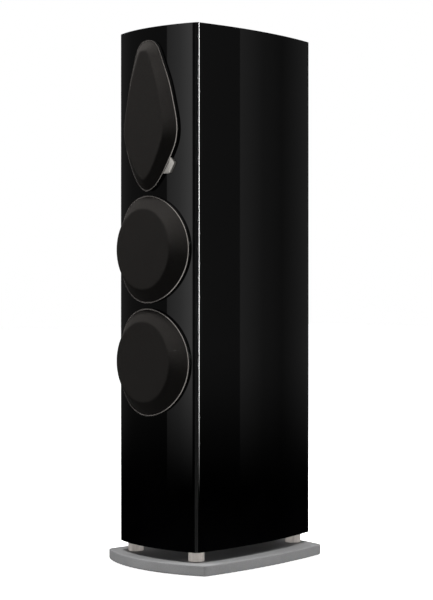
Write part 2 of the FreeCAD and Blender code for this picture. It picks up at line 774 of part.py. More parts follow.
def surround(z):
    """Half-round rubber roll with a flat landing on each side."""
    middle = (ROLL_OUTER + ROLL_INNER) / 2.0
    t = SURROUND_THICKNESS
    outline = (
        (ROLL_INNER - 4.0, -t),
        (ROLL_INNER, -t),
        (middle, -ROLL_HEIGHT - t, ROLL_OUTER, -t),
        (ROLL_OUTER + 5.5, -t),
        (ROLL_OUTER + 5.5, 0.0),
        (ROLL_OUTER - t, 0.0),
        (middle, -ROLL_HEIGHT, ROLL_INNER + t, 0.0),
        (ROLL_INNER - 4.0, 0.0),
    )
    return turned(outline, z, FLANGE_FRONT_Y)


def cone(z):
    """Thin cone from the surround's inner landing down to the voice coil."""
    outline = ((69.5, 0.3), (20.6, 36.2), (19.6, 36.2), (19.6, 38.2), (21.2, 38.2), (70.6, 1.9))
    return turned(outline, z, FLANGE_FRONT_Y)


def dust_cap(z):
    """Thin dome over the cone's centre."""
    return domed_cap(25.0, 9.0, 0.8, z, FLANGE_FRONT_Y + 32.0)


def voice_coil(z):
    """Tube with a winding round it, in the gap between top plate and pole."""
    inner, former, winding = 19.0, 19.4, 20.2
    outline = (
        (inner, 36.6),
        (former, 36.6),
        (former, 64.0),
        (winding, 64.0),
        (winding, 76.0),
        (former, 76.0),
        (former, 84.0),
        (inner, 84.0),
    )
    return turned(outline, z, FLANGE_FRONT_Y)


def spider(z):
    """Corrugated cloth disc between the voice coil and the basket's shelf."""
    steps = 12
    inner = 19.9
    pitch = (48.0 - inner) / steps
    wave = [(inner + pitch * i, SPIDER_DEPTH + 1.5 * math.cos(math.pi * i)) for i in range(steps)]
    front = wave + [(48.0, 49.2), (55.0, 49.2)]
    back = [(r, d + 0.7) for r, d in front]
    return turned(tuple(front + back[::-1]), z, FLANGE_FRONT_Y)


def top_plate(z):
    outline = ((21.0, TOP_PLATE_DEPTH), (56.0, TOP_PLATE_DEPTH), (56.0, MAGNET_DEPTH), (21.0, MAGNET_DEPTH))
    return turned(outline, z, FLANGE_FRONT_Y)


def ring_magnet(z):
    bevel = 2.0
    outline = (
        (32.0, MAGNET_DEPTH),
        (62.0 - bevel, MAGNET_DEPTH),
        (62.0, MAGNET_DEPTH + bevel),
        (62.0, BACK_PLATE_DEPTH - bevel),
        (62.0 - bevel, BACK_PLATE_DEPTH),
        (32.0, BACK_PLATE_DEPTH),
    )
    return turned(outline, z, FLANGE_FRONT_Y)


def yoke(z):
    """Back plate and vented pole in one piece."""
    outline = (
        (8.0, TOP_PLATE_DEPTH),
        (18.2, TOP_PLATE_DEPTH),
        (18.2, BACK_PLATE_DEPTH),
        (56.0, BACK_PLATE_DEPTH),
        (56.0, MOTOR_END_DEPTH),
        (8.0, MOTOR_END_DEPTH),
    )
    return turned(outline, z, FLANGE_FRONT_Y)


WOOFER_PIECES = {
    "basket": basket,
    "surround": surround,
    "cone": cone,
    "dust_cap": dust_cap,
    "voice_coil": voice_coil,
    "spider": spider,
    "top_plate": top_plate,
    "magnet": ring_magnet,
    "yoke": yoke,
}

# ---- tweeter and midrange array ------------------------------------------------------------


def waveguide_mouth(driver, z):
    """Flared opening in front of a dome."""
    depth = SEAT_Y - ARRAY_PLATE_FRONT_Y
    bend = (driver["throat"] + 0.35 * (driver["mouth"] - driver["throat"]), -0.62 * depth)
    outline = (
        (0.0, 1.0),
        (driver["throat"], 1.0),
        (driver["throat"], 0.0),
        (*bend, driver["mouth"], -depth),
        (driver["mouth"], -depth - 1.0),
        (0.0, -depth - 1.0),
    )
    return turned(outline, z, SEAT_Y)


def array_waveguide():
    """Flat kite-shaped plate with three flared openings, let into the baffle."""
    plate = prism_y(kite_points(ARRAY_PLATE_INSET), ARRAY_PLATE_FRONT_Y, SEAT_Y)
    cuts = [waveguide_mouth(TWEETER, TWEETER["z"])]
    cuts += [waveguide_mouth(MIDRANGE, z) for z in MIDRANGE_HEIGHTS.values()]
    for x, z in ARRAY_MAGNETS:
        cuts.append(rod_y(MAGNET_RADIUS + FIT_GAP / 2, x, z, -300, ARRAY_PLATE_FRONT_Y + MAGNET_LENGTH))
    for x, z in ARRAY_SCREWS:
        cuts.append(screw_holes(x, z, -300, 0))
        cuts.append(screw_holes(-x, z, -300, 0))
    return plate.cut(cuts)


def dome(driver, z):
    """Dome with its small roll and the short tube that carries the coil."""
    r = driver["dome"]
    skin = 0.6
    plane = -1.6
    roll = 2.6
    rim = (
        (r - skin, plane),
        (r + skin, plane),
        (r + (roll + skin) / 2.0, plane - (roll - skin) / 2.0, r + roll, plane),
        (r + roll, plane + skin),
        (r, plane + skin),
        (r, plane + 7.0),
        (r - skin, plane + 7.0),
    )
    cap = domed_cap(r, driver["rise"], skin, z, SEAT_Y + plane)
    return cap.fuse(turned(rim, z, SEAT_Y)).removeSplitter()


def dome_motor(driver, z):
    """Closed magnet can behind the waveguide, with the gap that the coil moves in."""
    r = driver["dome"]
    edge = 1.5
    outline = (
        (0.0, 0.0),
        (r - 1.5, 0.0),
        (r - 1.5, 8.0),
        (r + 1.0, 8.0),
        (r + 1.0, 0.0),
        (driver["motor"], 0.0),
        (driver["motor"], driver["depth"] - edge),
        (driver["motor"] - edge, driver["depth"]),
        (0.0, driver["depth"]),
    )
    return turned(outline, z, SEAT_Y)


def badge_tab():
    """Plain tapered tab that widens the kite trim at its lower right."""
    start = V(TAB_START[0], -300, TAB_START[1])
    along = (V(TAB_END[0], -300, TAB_END[1]) - start).normalize()
    out = V(-along.z, 0, along.x)
    corners = (
        start,
        start + along * TAB_UPPER_TAPER + out * TAB_WIDTH,
        start + along * (TAB_LENGTH - TAB_LOWER_TAPER) + out * TAB_WIDTH,
        start + along * TAB_LENGTH,
        start + along * (TAB_LENGTH / 2.0) - out * 6.0,
    )
    face = Part.Face(Part.makePolygon(list(corners) + [corners[0]]))
    tab = face.extrude(V(0, 300 + BAFFLE_BACK_Y, 0)).common(baffle_shell(0.0, TAB_PROUD))
    return tab.cut(prism_y(kite_points(-FIT_GAP / 2), -300, 0))


# ---- rear connections and crossover --------------------------------------------------------

POST_PLACES = {
    "upper_right": (POST_X, TERMINAL_Z + POST_RISE),
    "upper_left": (-POST_X, TERMINAL_Z + POST_RISE),
    "lower_right": (POST_X, TERMINAL_Z - POST_RISE),
    "lower_left": (-POST_X, TERMINAL_Z - POST_RISE),
}
TERMINAL_BACK_Y = HALF_DEPTH + TERMINAL_THICKNESS


def terminal_plate():
    half = TERMINAL_HALF_SIZE
    plate = block(-half, half, HALF_DEPTH, TERMINAL_BACK_Y, TERMINAL_Z - half, TERMINAL_Z + half)
    corners = [e for e in plate.Edges if abs(e.Length - TERMINAL_THICKNESS) < 0.01]
    plate = plate.makeFillet(8.0, corners)
    cuts = [screw_holes(x, z, 0, 300) for x, z in rear_screw_places()]
    cuts += [rod_y(POST_RADIUS + FIT_GAP, x, z, 0, 300) for x, z in POST_PLACES.values()]
    return plate.cut(cuts)


def binding_posts():
    """Four fixed posts, each with a collar on the plate and a socket in its end."""
    posts = []
    for x, z in POST_PLACES.values():
        outline = (
            (0.0, -TERMINAL_THICKNESS - 14.0),
            (POST_RADIUS, -TERMINAL_THICKNESS - 14.0),
            (POST_RADIUS, 0.0),
            (NUT_RADIUS - 0.5, 0.0),
            (NUT_RADIUS - 0.5, 4.0),
            (POST_RADIUS, 4.0),
            (POST_RADIUS, POST_LENGTH - 1.0),
            (POST_RADIUS - 1.0, POST_LENGTH),
            (SOCKET_RADIUS, POST_LENGTH),
            (SOCKET_RADIUS, POST_LENGTH - SOCKET_DEPTH),
            (0.0, POST_LENGTH - SOCKET_DEPTH),
        )
        posts.append(turned(outline, z, TERMINAL_BACK_Y, x))
    return group(posts)


def post_nut(x, z):
    """Fluted nut that turns on a post."""
    bore = POST_RADIUS + 0.4
    end = NUT_START + NUT_LENGTH
    outline = (
        (bore, NUT_START),
        (NUT_RADIUS - 0.8, NUT_START),
        (NUT_RADIUS, NUT_START + 0.8),
        (NUT_RADIUS, end - 1.5),
        (NUT_RADIUS - 1.5, end),
        (bore, end),
    )
    body = turned(outline, z, TERMINAL_BACK_Y, x)
    flutes = []
    flute_radius = 1.1
    reach = NUT_RADIUS + 0.5
    flute_start = TERMINAL_BACK_Y + NUT_START + 3.0
    flute_end = TERMINAL_BACK_Y + end
    for i in range(NUT_FLUTES):
        turn = 2.0 * math.pi * i / NUT_FLUTES
        flute_x = x + reach * math.cos(turn)
        flute_z = z + reach * math.sin(turn)
        flutes.append(rod_y(flute_radius, flute_x, flute_z, flute_start, flute_end))
    return body.cut(flutes)


def crossover_board():
    front = REAR_INNER_Y - BOARD_THICKNESS
    return block(-BOARD_HALF_WIDTH, BOARD_HALF_WIDTH, front, REAR_INNER_Y, BOARD_LOW, BOARD_HIGH)


def crossover_coils():
    """Air-core coils, standing on the board."""
    board_y = REAR_INNER_Y - BOARD_THICKNESS
    outline = ((8.0, -18.0), (21.0, -18.0), (22.0, -17.0), (22.0, -1.0), (21.0, 0.0), (8.0, 0.0))
    return group([turned(outline, z, board_y, -18.0) for z in COIL_HEIGHTS])


def crossover_capacitors():
    """Film capacitors, lying upright along the board."""
    radius = 9.0
    y = REAR_INNER_Y - BOARD_THICKNESS - radius - FIT_GAP
    return group([rod_z(radius, 24.0, y, z, z + 40.0) for z in CAPACITOR_HEIGHTS])


# ---- all nodes ----------------------------------------------------------------------------


def all_nodes():
    nodes = {
        "front_baffle": front_baffle(),
        "left_side_panel": side_panel(-1),
        "right_side_panel": side_panel(1),
        "top_panel": top_panel(),
        "bottom_panel": bottom_panel(),
        "rear_panel": rear_panel(),
        "shelf_braces": shelf_braces(),
        "midrange_chamber": midrange_chamber(),
        "port_tube": port_tube(),
        "damping_lining": damping_lining(),
        "base_plate": base_plate(),
        "base_spacers": base_spacers(),
        "spacer_bolts": spacer_bolts(),
        "floor_pads": floor_pads(),
        "panel_screws": panel_screws(),
        "grille_magnets": grille_magnets(),
        "array_waveguide": array_waveguide(),
        "array_trim": make_trim(kite_points),
        "badge_tab": badge_tab(),
        "tweeter_dome": dome(TWEETER, TWEETER["z"]),
        "tweeter_motor": dome_motor(TWEETER, TWEETER["z"]),
        "terminal_plate": terminal_plate(),
        "binding_posts": binding_posts(),
        "crossover_board": crossover_board(),
        "crossover_coils": crossover_coils(),
        "crossover_capacitors": crossover_capacitors(),
    }
    for name, z in MIDRANGE_HEIGHTS.items():
        nodes[f"{name}_midrange_dome"] = dome(MIDRANGE, z)
        nodes[f"{name}_midrange_motor"] = dome_motor(MIDRANGE, z)
    for name, z in WOOFER_HEIGHTS.items():
        for piece, make in WOOFER_PIECES.items():
            nodes[f"{name}_woofer_{piece}"] = make(z)
        nodes[f"{name}_woofer_trim"] = make_trim(woofer_outline(z))
        skirt_inset = TRIM_OUTER_RADIUS - GRILLE_FACE_RADIUS
        frame, cloth = make_grille(woofer_outline(z), skirt_inset, WOOFER_GRILLE_FACE_Y, z)
        nodes[f"{name}_woofer_grille_frame"] = frame
        nodes[f"{name}_woofer_grille_cloth"] = cloth
    frame, cloth = make_grille(kite_points, KITE_SKIRT_INSET, ARRAY_GRILLE_FACE_Y, TWEETER["z"])
    nodes["array_grille_frame"] = frame
    nodes["array_grille_cloth"] = cloth
    for name, (x, z) in POST_PLACES.items():
        nodes[f"{name}_post_nut"] = post_nut(x, z)
    return nodes


def main():
    os.makedirs("parts", exist_ok=True)
    for name, shape in all_nodes().items():
        shape.translated(TO_ORIGIN).exportStep(f"parts/{name}.step")
        box = shape.translated(TO_ORIGIN).BoundBox
        print(
            f"{name:28s} solids {len(shape.Solids):2d} valid {shape.isValid()} volume {shape.Volume:12.1f}"
            f" y {box.YMin:8.2f} {box.YMax:8.2f} z {box.ZMin:8.2f} {box.ZMax:8.2f}"
        )
    print("origin moved by", TO_ORIGIN)


main()
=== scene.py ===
import json
import math
from functools import partial

import bmesh
import bpy
import numpy as np
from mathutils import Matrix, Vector


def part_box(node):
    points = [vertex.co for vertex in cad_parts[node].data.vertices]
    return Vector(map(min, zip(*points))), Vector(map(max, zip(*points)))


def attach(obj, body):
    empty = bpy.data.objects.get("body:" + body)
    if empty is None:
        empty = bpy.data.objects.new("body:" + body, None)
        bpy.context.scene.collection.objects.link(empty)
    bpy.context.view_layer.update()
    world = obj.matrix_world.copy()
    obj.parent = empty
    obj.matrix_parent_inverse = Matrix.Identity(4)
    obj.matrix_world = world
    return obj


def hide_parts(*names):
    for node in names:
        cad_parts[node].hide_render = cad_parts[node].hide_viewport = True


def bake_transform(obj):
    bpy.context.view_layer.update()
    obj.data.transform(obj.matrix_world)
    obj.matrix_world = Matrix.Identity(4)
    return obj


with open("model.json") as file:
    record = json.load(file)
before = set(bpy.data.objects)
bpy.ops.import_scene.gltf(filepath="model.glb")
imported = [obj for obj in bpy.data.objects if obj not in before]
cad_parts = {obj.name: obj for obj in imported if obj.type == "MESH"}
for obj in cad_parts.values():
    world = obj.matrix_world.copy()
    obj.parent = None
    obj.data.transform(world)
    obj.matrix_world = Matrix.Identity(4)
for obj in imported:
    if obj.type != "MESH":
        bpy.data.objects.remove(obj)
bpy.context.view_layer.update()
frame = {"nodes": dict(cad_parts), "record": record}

MM = 0.001
scene = bpy.context.scene

# ---- sizes that the drawn surfaces share with the CAD model ---------------------------------

FRONT_HALF_WIDTH = 121.8 * MM
REAR_HALF_WIDTH = 61.0 * MM
HALF_DEPTH = 188.85 * MM
FRONT_BOW = 22.5 * MM
SIDE_BOW = 19.6 * MM
FRONT_CORNER_RADIUS = 9.0 * MM
REAR_CORNER_RADIUS = 6.0 * MM
SIDE_THICKNESS = 18.0 * MM

TRIM_RADIUS = 109.2 * MM
TRIM_WIDTH = 2.1 * MM
TRIM_PROUD = 6.5 * MM
TRIM_SUNK = 3.0 * MM
GROOVE_GAP = 0.1 * MM
FLANGE_POCKET_RADIUS = 102.2 * MM
BASKET_HOLE_RADIUS = 90.5 * MM
GRILLE_FACE_RADIUS = 83.0 * MM
GRILLE_EDGE_GAP = 0.4 * MM
GRILLE_EDGE_PROUD = 6.0 * MM
GRILLE_LIFT = 0.6 * MM
CLOTH_THICKNESS = 0.8 * MM
KITE_SKIRT_INSET = 21.5 * MM

# right half of the kite-shaped trim's outline, as (x, z) in millimetres, from top to bottom
KITE_HALF = (
    (0.0, 1077.5),
    (17.5, 1074.6),
    (29.6, 1065.0),
    (43.5, 1038.0),
    (61.5, 994.0),
    (75.6, 941.0),
    (82.8, 897.0),
    (79.8, 869.6),
    (64.6, 835.6),
    (44.4, 803.0),
    (23.0, 779.8),
    (0.0, 770.5),
)

KITE_POCKET_INSET = 8.1 * MM
KITE_OPENING_INSET = 16.0 * MM

RIM_ROUND = 0.5 * MM
PORT_STEP_RADIUS = 56.2 * MM
PORT_STEP_HEIGHT = 4.2 * MM
PORT_HOLE_RADIUS = 53.2 * MM
TERMINAL_HOLE_HALF_SIZE = 30.0 * MM

# the tab: where its edge along the trim starts and a point that it runs towards, as (x, z), then
# its sizes
TAB_START = (65.4 * MM, 837.2 * MM)
TAB_END = (45.6 * MM, 804.6 * MM)
TAB_LENGTH = 38.0 * MM
TAB_UPPER_TAPER = 5.0 * MM
TAB_LOWER_TAPER = 8.5 * MM
TAB_WIDTH = 14.2 * MM
TAB_PROUD = 5.8 * MM
TAB_TUCK = 1.2 * MM
TAB_CORNER_REACH = 1.8 * MM
TAB_ROUND = 0.9 * MM

ROLL_OUTER = 86.0 * MM
ROLL_INNER = 70.0 * MM
ROLL_HEIGHT = 8.0 * MM
INNER_LANDING = 4.0 * MM
OUTER_LANDING = 5.5 * MM
SURROUND_THICKNESS = 1.0 * MM
SPIDER_INNER = 19.9 * MM
SPIDER_HELD = SPIDER_INNER + 2.0 * MM
SPIDER_WAVES_END = 48.0 * MM
SPIDER_OUTER = 55.0 * MM
SPIDER_WAVES = 12
SPIDER_WAVE_HEIGHT = 1.5 * MM
SPIDER_THICKNESS = 0.7 * MM

# places read from the frame
BAFFLE_LOW, BAFFLE_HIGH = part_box("front_baffle")
TOP_LOW, TOP_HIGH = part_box("top_panel")
BOTTOM_LOW, BOTTOM_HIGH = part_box("bottom_panel")
REAR_LOW, REAR_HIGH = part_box("rear_panel")
NOSE_Y = BAFFLE_LOW.y
BAFFLE_BACK_Y = BAFFLE_HIGH.y
REAR_INNER_Y = REAR_LOW.y
REAR_Y = REAR_HIGH.y
MIDDLE_Y = REAR_Y - HALF_DEPTH
SEAT_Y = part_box("array_waveguide")[1].y
PORT_LOW, PORT_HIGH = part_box("port_tube")
TERMINAL_LOW, TERMINAL_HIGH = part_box("terminal_plate")
TERMINAL_Z = (TERMINAL_LOW.z + TERMINAL_HIGH.z) / 2.0
FLANGE_FRONT_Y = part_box("upper_woofer_basket")[0].y
SPIDER_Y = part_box("upper_woofer_spider")[0].y + SPIDER_WAVE_HEIGHT


def middle_z(node):
    low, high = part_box(node)
    return (low.z + high.z) / 2.0


WOOFER_Z = {name: middle_z(f"{name}_woofer_trim") for name in ("upper", "lower")}
KITE_CENTRE_Z = middle_z("tweeter_dome")

# ---- curves ---------------------------------------------------------------------------------


def arc_radius(half_chord, bow):
    """Radius of the arc that stands up by bow over a chord of twice half_chord."""
    return (half_chord**2 + bow**2) / (2.0 * bow)


def bowed_circle(start, end, bow):
    """Centre and radius of the circle through start and end that bulges out to their right."""
    start, end = np.array(start), np.array(end)
    chord = end - start
    length = np.linalg.norm(chord)
    outward = np.array((chord[1], -chord[0])) / length
    radius = arc_radius(length / 2.0, bow)
    return (start + end) / 2.0 - outward * (radius - bow), radius


def corner_centre(first, second, radius):
    """Centre of the round corner that joins two circles from inside, on the outer side."""
    (c0, r0), (c1, r1) = first, second
    r0, r1 = r0 - radius, r1 - radius
    gap = c1 - c0
    d = np.linalg.norm(gap)
    along = (d**2 + r0**2 - r1**2) / (2.0 * d)
    off = math.sqrt(r0**2 - along**2)
    base = c0 + gap / d * along
    normal = np.array((-gap[1], gap[0])) / d
    options = [base + normal * off, base - normal * off]
    return max(options, key=lambda p: p[0])


def angle_to(centre, point):
    return math.atan2(point[1] - centre[1], point[0] - centre[0])


def arc_run(circle, start, end, steps):
    """Points on a circle between two angles, each as (x, y, outward x, outward y)."""
    centre, radius = circle
    run = []
    for a in np.linspace(start, end, steps + 1):
        c, s = math.cos(a), math.sin(a)
        run.append((centre[0] + radius * c, centre[1] + radius * s, c, s))
    return run


def straight_run(start, end):
    """Two points of a straight edge with its outward direction to the right of travel."""
    step = np.array(end[:2]) - np.array(start[:2])
    nx, ny = step[1], -step[0]
    length = math.hypot(nx, ny)
    return [(start[0], start[1], nx / length, ny / length), (end[0], end[1], nx / length, ny / length)]


def mirrored(run):
    """The same run on the other side, in the opposite order."""
    return [(-x, y, -nx, ny) for x, y, nx, ny in reversed(run)]


BAFFLE_RADIUS = arc_radius(FRONT_HALF_WIDTH, FRONT_BOW)
BAFFLE_CIRCLE = (np.array((0.0, NOSE_Y + BAFFLE_RADIUS)), BAFFLE_RADIUS)
SIDE_CIRCLE = bowed_circle(
    (FRONT_HALF_WIDTH, MIDDLE_Y - HALF_DEPTH), (REAR_HALF_WIDTH, MIDDLE_Y + HALF_DEPTH), SIDE_BOW
)
FRONT_CORNER = (corner_centre(BAFFLE_CIRCLE, SIDE_CIRCLE, FRONT_CORNER_RADIUS), FRONT_CORNER_RADIUS)


def side_x(y, inset=0.0):
    """Half-width of the cabinet at depth y, to its side face moved inwards by inset."""
    centre, radius = SIDE_CIRCLE
    return centre[0] + math.sqrt((radius - inset) ** 2 - (y - centre[1]) ** 2)


def baffle_y(x, proud=0.0):
    """Depth of the bowed baffle face at x, moved out along its normal by proud."""
    return BAFFLE_CIRCLE[0][1] - math.sqrt((BAFFLE_RADIUS + proud) ** 2 - x**2)


def rear_corner():
    centre, radius = SIDE_CIRCLE
    y = REAR_Y - REAR_CORNER_RADIUS
    return np.array((side_x(y, REAR_CORNER_RADIUS), y)), REAR_CORNER_RADIUS


REAR_CORNER = rear_corner()
FRONT_TANGENT = angle_to(BAFFLE_CIRCLE[0], FRONT_CORNER[0])
SIDE_START = angle_to(SIDE_CIRCLE[0], FRONT_CORNER[0])
SIDE_END = angle_to(SIDE_CIRCLE[0], REAR_CORNER[0])
FLAT_HALF_WIDTH = BAFFLE_CIRCLE[0][0] + BAFFLE_RADIUS * math.cos(FRONT_TANGENT)


def side_angle(y):
    """Angle on the side circle of its point at depth y."""
    centre, radius = SIDE_CIRCLE
    return math.asin((y - centre[1]) / radius)


STEPS_PER_SPAN = 60


def smooth_loop(points):
    """Dense points and outward directions of a closed cubic curve through the given (x, z)."""
    p = np.array(points)
    n = len(p)
    step = np.linalg.norm(np.roll(p, -1, axis=0) - p, axis=1)
    matrix = np.zeros((n, n))
    right = np.zeros((n, 2))
    for i in range(n):
        before, after = step[i - 1], step[i]
        matrix[i, i - 1] += before
        matrix[i, i] += 2.0 * (before + after)
        matrix[i, (i + 1) % n] += after
        right[i] = 6.0 * ((p[(i + 1) % n] - p[i]) / after - (p[i] - p[i - 1]) / before)
    bend = np.linalg.solve(matrix, right)
    dense = []
    for i in range(n):
        j = (i + 1) % n
        h = step[i]
        for t in np.linspace(0.0, h, STEPS_PER_SPAN, endpoint=False):
            u = h - t
            dense.append(
                (bend[i] * u**3 + bend[j] * t**3) / (6.0 * h)
                + (p[i] / h - bend[i] * h / 6.0) * u
                + (p[j] / h - bend[j] * h / 6.0) * t
            )
    dense = np.array(dense)
    along = np.roll(dense, -1, axis=0) - np.roll(dense, 1, axis=0)
    along /= np.linalg.norm(along, axis=1)[:, None]
    return dense, np.stack((-along[:, 1], along[:, 0]), axis=1)


def kite_loop():
    half = [(x * MM, z * MM) for x, z in KITE_HALF]
    left = [(-x, z) for x, z in reversed(half[1:-1])]
    return smooth_loop(half + left)


KITE_POINTS, KITE_NORMALS = kite_loop()


def circle_outline(z, angles):
    """Points of a woofer trim's outer edge at the given angles, and their outward directions."""
    facing = np.stack((np.cos(angles), np.sin(angles)), axis=1)
    return np.array((0.0, z)) + TRIM_RADIUS * facing, facing


def even_circle(z, count):
    return circle_outline(z, np.linspace(0.0, 2.0 * math.pi, count, endpoint=False))


def kite_outline(angles):
    """The same for the kite trim, at angles about the tweeter's centre."""
    turn = np.arctan2(KITE_POINTS[:, 1] - KITE_CENTRE_Z, KITE_POINTS[:, 0])
    order = np.argsort(turn)
    wrapped = np.mod(np.asarray(angles) + math.pi, 2.0 * math.pi) - math.pi
    columns = []
    for values in (*KITE_POINTS.T, *KITE_NORMALS.T):
        columns.append(np.interp(wrapped, turn[order], values[order], period=2.0 * math.pi))
    return np.stack(columns[:2], axis=1), np.stack(columns[2:], axis=1)


def even_kite(count):
    """The same at even distances along the kite trim."""
    step = np.linalg.norm(np.roll(KITE_POINTS, -1, axis=0) - KITE_POINTS, axis=1)
    along = np.concatenate(((0.0,), np.cumsum(step)))
    wanted = np.linspace(0.0, along[-1], count, endpoint=False)
    columns = []
    for values in (*KITE_POINTS.T, *KITE_NORMALS.T):
        columns.append(np.interp(wanted, along, np.append(values, values[0])))
    return np.stack(columns[:2], axis=1), np.stack(columns[2:], axis=1)


# ---- mesh making ----------------------------------------------------------------------------


class Maker:
    """Collects faces by their corner points, joins equal corners, and keeps exact normals."""

    def __init__(self):
        self.points = []
        self.index = {}
        self.faces = []
        self.normals = []

    def corner(self, point):
        key = tuple(round(float(c) * 1e7) for c in point)
        if key not in self.index:
            self.index[key] = len(self.points)
            self.points.append(tuple(float(c) for c in point))
        return self.index[key]

    def face(self, points, normals=None):
        corners = []
        kept = {}
        for i, point in enumerate(points):
            corner = self.corner(point)
            if corner in corners:
                continue
            corners.append(corner)
            if normals is not None:
                kept[corner] = tuple(float(c) for c in normals[i])
        if len(corners) > 2:
            self.faces.append(corners)
            self.normals.append(kept)

    def strip(self, first, second, first_normals=None, second_normals=None, closed=True):
        """Quads between two rows of points."""
        count = len(first)
        for i in range(count if closed else count - 1):
            j = (i + 1) % count
            normals = None
            if first_normals is not None:
                normals = (first_normals[i], first_normals[j], second_normals[j], second_normals[i])
            self.face((first[i], first[j], second[j], second[i]), normals)

    def chain(self, loops):
        """Strips between each closed row of points and the next."""
        for first, second in zip(loops, loops[1:]):
            self.strip(first, second)

    def finish(self, name, body, slot, replaces=(), smooth=35.0, material=None):
        mesh = bpy.data.meshes.new(name)
        mesh.from_pydata(self.points, [], self.faces)
        work = bmesh.new()
        work.from_mesh(mesh)
        bmesh.ops.recalc_face_normals(work, faces=work.faces)
        work.to_mesh(mesh)
        work.free()
        mesh.polygons.foreach_set("use_smooth", [True] * len(mesh.polygons))
        mesh.set_sharp_from_angle(angle=math.radians(smooth))
        if any(self.normals):
            wanted = [(0.0, 0.0, 0.0)] * len(mesh.loops)
            for polygon, kept in zip(mesh.polygons, self.normals):
                for loop in polygon.loop_indices:
                    wanted[loop] = kept.get(mesh.loops[loop].vertex_index, (0.0, 0.0, 0.0))
            mesh.normals_split_custom_set(wanted)
        return add_piece(name, mesh, body, slot, replaces, material)


def add_piece(name, mesh, body, slot, replaces=(), material=None):
    piece = bpy.data.objects.new(name, mesh)
    scene.collection.objects.link(piece)
    mesh.materials.append(material or MATERIALS[slot])
    if body:
        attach(piece, body)
    if replaces:
        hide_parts(*replaces)
    return piece


def walls(maker, run, z0, z1, closed=False):
    """Upright faces along one run of a plan outline, with the run's own directions as normals."""
    low = [(x, y, z0) for x, y, _, _ in run]
    high = [(x, y, z1) for x, y, _, _ in run]
    facing = [(nx, ny, 0.0) for _, _, nx, ny in run]
    maker.strip(low, high, facing, facing, closed=closed)


def rounded_slab(maker, runs, z0, z1, low_round, high_round, steps=4, closed=False, capped=True):
    """Upright slab with a plan made of runs, with its lower and upper rims rounded."""
    levels = []
    for i in range(steps + 1):
        a = math.pi / 2.0 * (1.0 - i / steps)
        levels.append((low_round * (1 - math.cos(a)), z0 + low_round * (1 - math.sin(a)), -a))
    for i in range(steps + 1):
        a = math.pi / 2.0 * i / steps
        levels.append((high_round * (1 - math.cos(a)), z1 - high_round * (1 - math.sin(a)), a))
    for run in runs:
        rows = []
        for inset, z, a in levels:
            row = [(x - nx * inset, y - ny * inset, z) for x, y, nx, ny in run]
            facing = [(nx * math.cos(a), ny * math.cos(a), math.sin(a)) for _, _, nx, ny in run]
            rows.append((row, facing))
        for (row, facing), (next_row, next_facing) in zip(rows, rows[1:]):
            maker.strip(row, next_row, facing, next_facing, closed=closed)
    if not capped:
        return
    for end, up in ((0, -1.0), (-1, 1.0)):
        inset, z, _ = levels[end]
        rim = [(x - nx * inset, y - ny * inset, z) for run in runs for x, y, nx, ny in run]
        maker.face(rim, [(0.0, 0.0, up)] * len(rim))


# ---- materials ------------------------------------------------------------------------------


def start_material(name):
    material = bpy.data.materials.new(name)
    material.use_nodes = True
    tree = material.node_tree
    return material, tree, tree.nodes["Principled BSDF"]


def fill(tree, node, inputs):
    """Sets each named input of a node to a value, or links it to another node's result."""
    for name, value in inputs.items():
        if isinstance(value, bpy.types.NodeSocket):
            tree.links.new(value, node.inputs[name])
        else:
            node.inputs[name].default_value = value


def add_node(tree, kind, inputs):
    node = tree.nodes.new(kind)
    fill(tree, node, inputs)
    return node


def object_coordinates(tree, scale=(1.0, 1.0, 1.0)):
    place = tree.nodes.new("ShaderNodeTexCoord").outputs["Object"]
    return add_node(tree, "ShaderNodeMapping", {"Vector": place, "Scale": scale}).outputs["Vector"]


def direction_parts(tree, source):
    """X, Y and Z parts of the direction that the texture coordinates give under this name."""
    place = tree.nodes.new("ShaderNodeTexCoord").outputs[source]
    return add_node(tree, "ShaderNodeSeparateXYZ", {"Vector": place}).outputs


def noise(tree, vector, scale, detail=3.0):
    inputs = {"Vector": vector, "Scale": scale, "Detail": detail}
    return add_node(tree, "ShaderNodeTexNoise", inputs).outputs["Fac"]


def math_node(tree, operation, *values):
    """Result of a calculation on numbers and on other nodes' results."""
    node = add_node(tree, "ShaderNodeMath", dict(enumerate(values)))
    node.operation = operation
    return node.outputs[0]


def between(tree, amount, low, high, start=0.3, end=0.7):
    """Value that runs from low to high as amount runs from start to end."""
    inputs = {"Value": amount, "From Min": start, "From Max": end, "To Min": low, "To Max": high}
    return add_node(tree, "ShaderNodeMapRange", inputs).outputs["Result"]


def colours(tree, amount, dark, light, start=0.35, end=0.65):
    """Colour that runs from dark to light as amount runs from start to end."""
    node = add_node(tree, "ShaderNodeValToRGB", {"Fac": amount})
    for i, place, colour in ((0, start, dark), (1, end, light)):
        node.color_ramp.elements[i].position = place
        node.color_ramp.elements[i].color = (*colour, 1.0)
    return node.outputs["Color"]


def bump(tree, height, strength, distance):
    inputs = {"Height": height, "Strength": strength, "Distance": distance}
    return add_node(tree, "ShaderNodeBump", inputs).outputs["Normal"]


FINE_SHARE = 0.6


def grained(
    name, dark, light, rough, metallic=0.0, grain=400.0,
    stretch=(1.0, 1.0, 1.0), relief=0.1, specular=0.5,
):
    """Finish with a fine grain that varies its colour, its roughness and its relief."""
    material, tree, shader = start_material(name)
    fine = noise(tree, object_coordinates(tree, stretch), grain, 4.0)
    broad = noise(tree, object_coordinates(tree), 14.0, 2.0)
    broad_part = math_node(tree, "MULTIPLY", broad, 1.0 - FINE_SHARE)
    amount = math_node(tree, "MULTIPLY_ADD", fine, FINE_SHARE, broad_part)
    inputs = {
        "Base Color": colours(tree, amount, dark, light),
        "Roughness": between(tree, fine, *rough),
        "Metallic": metallic,
        "Specular IOR Level": specular,
        "Normal": bump(tree, fine, relief, 0.2 * MM),
    }
    fill(tree, shader, inputs)
    return material


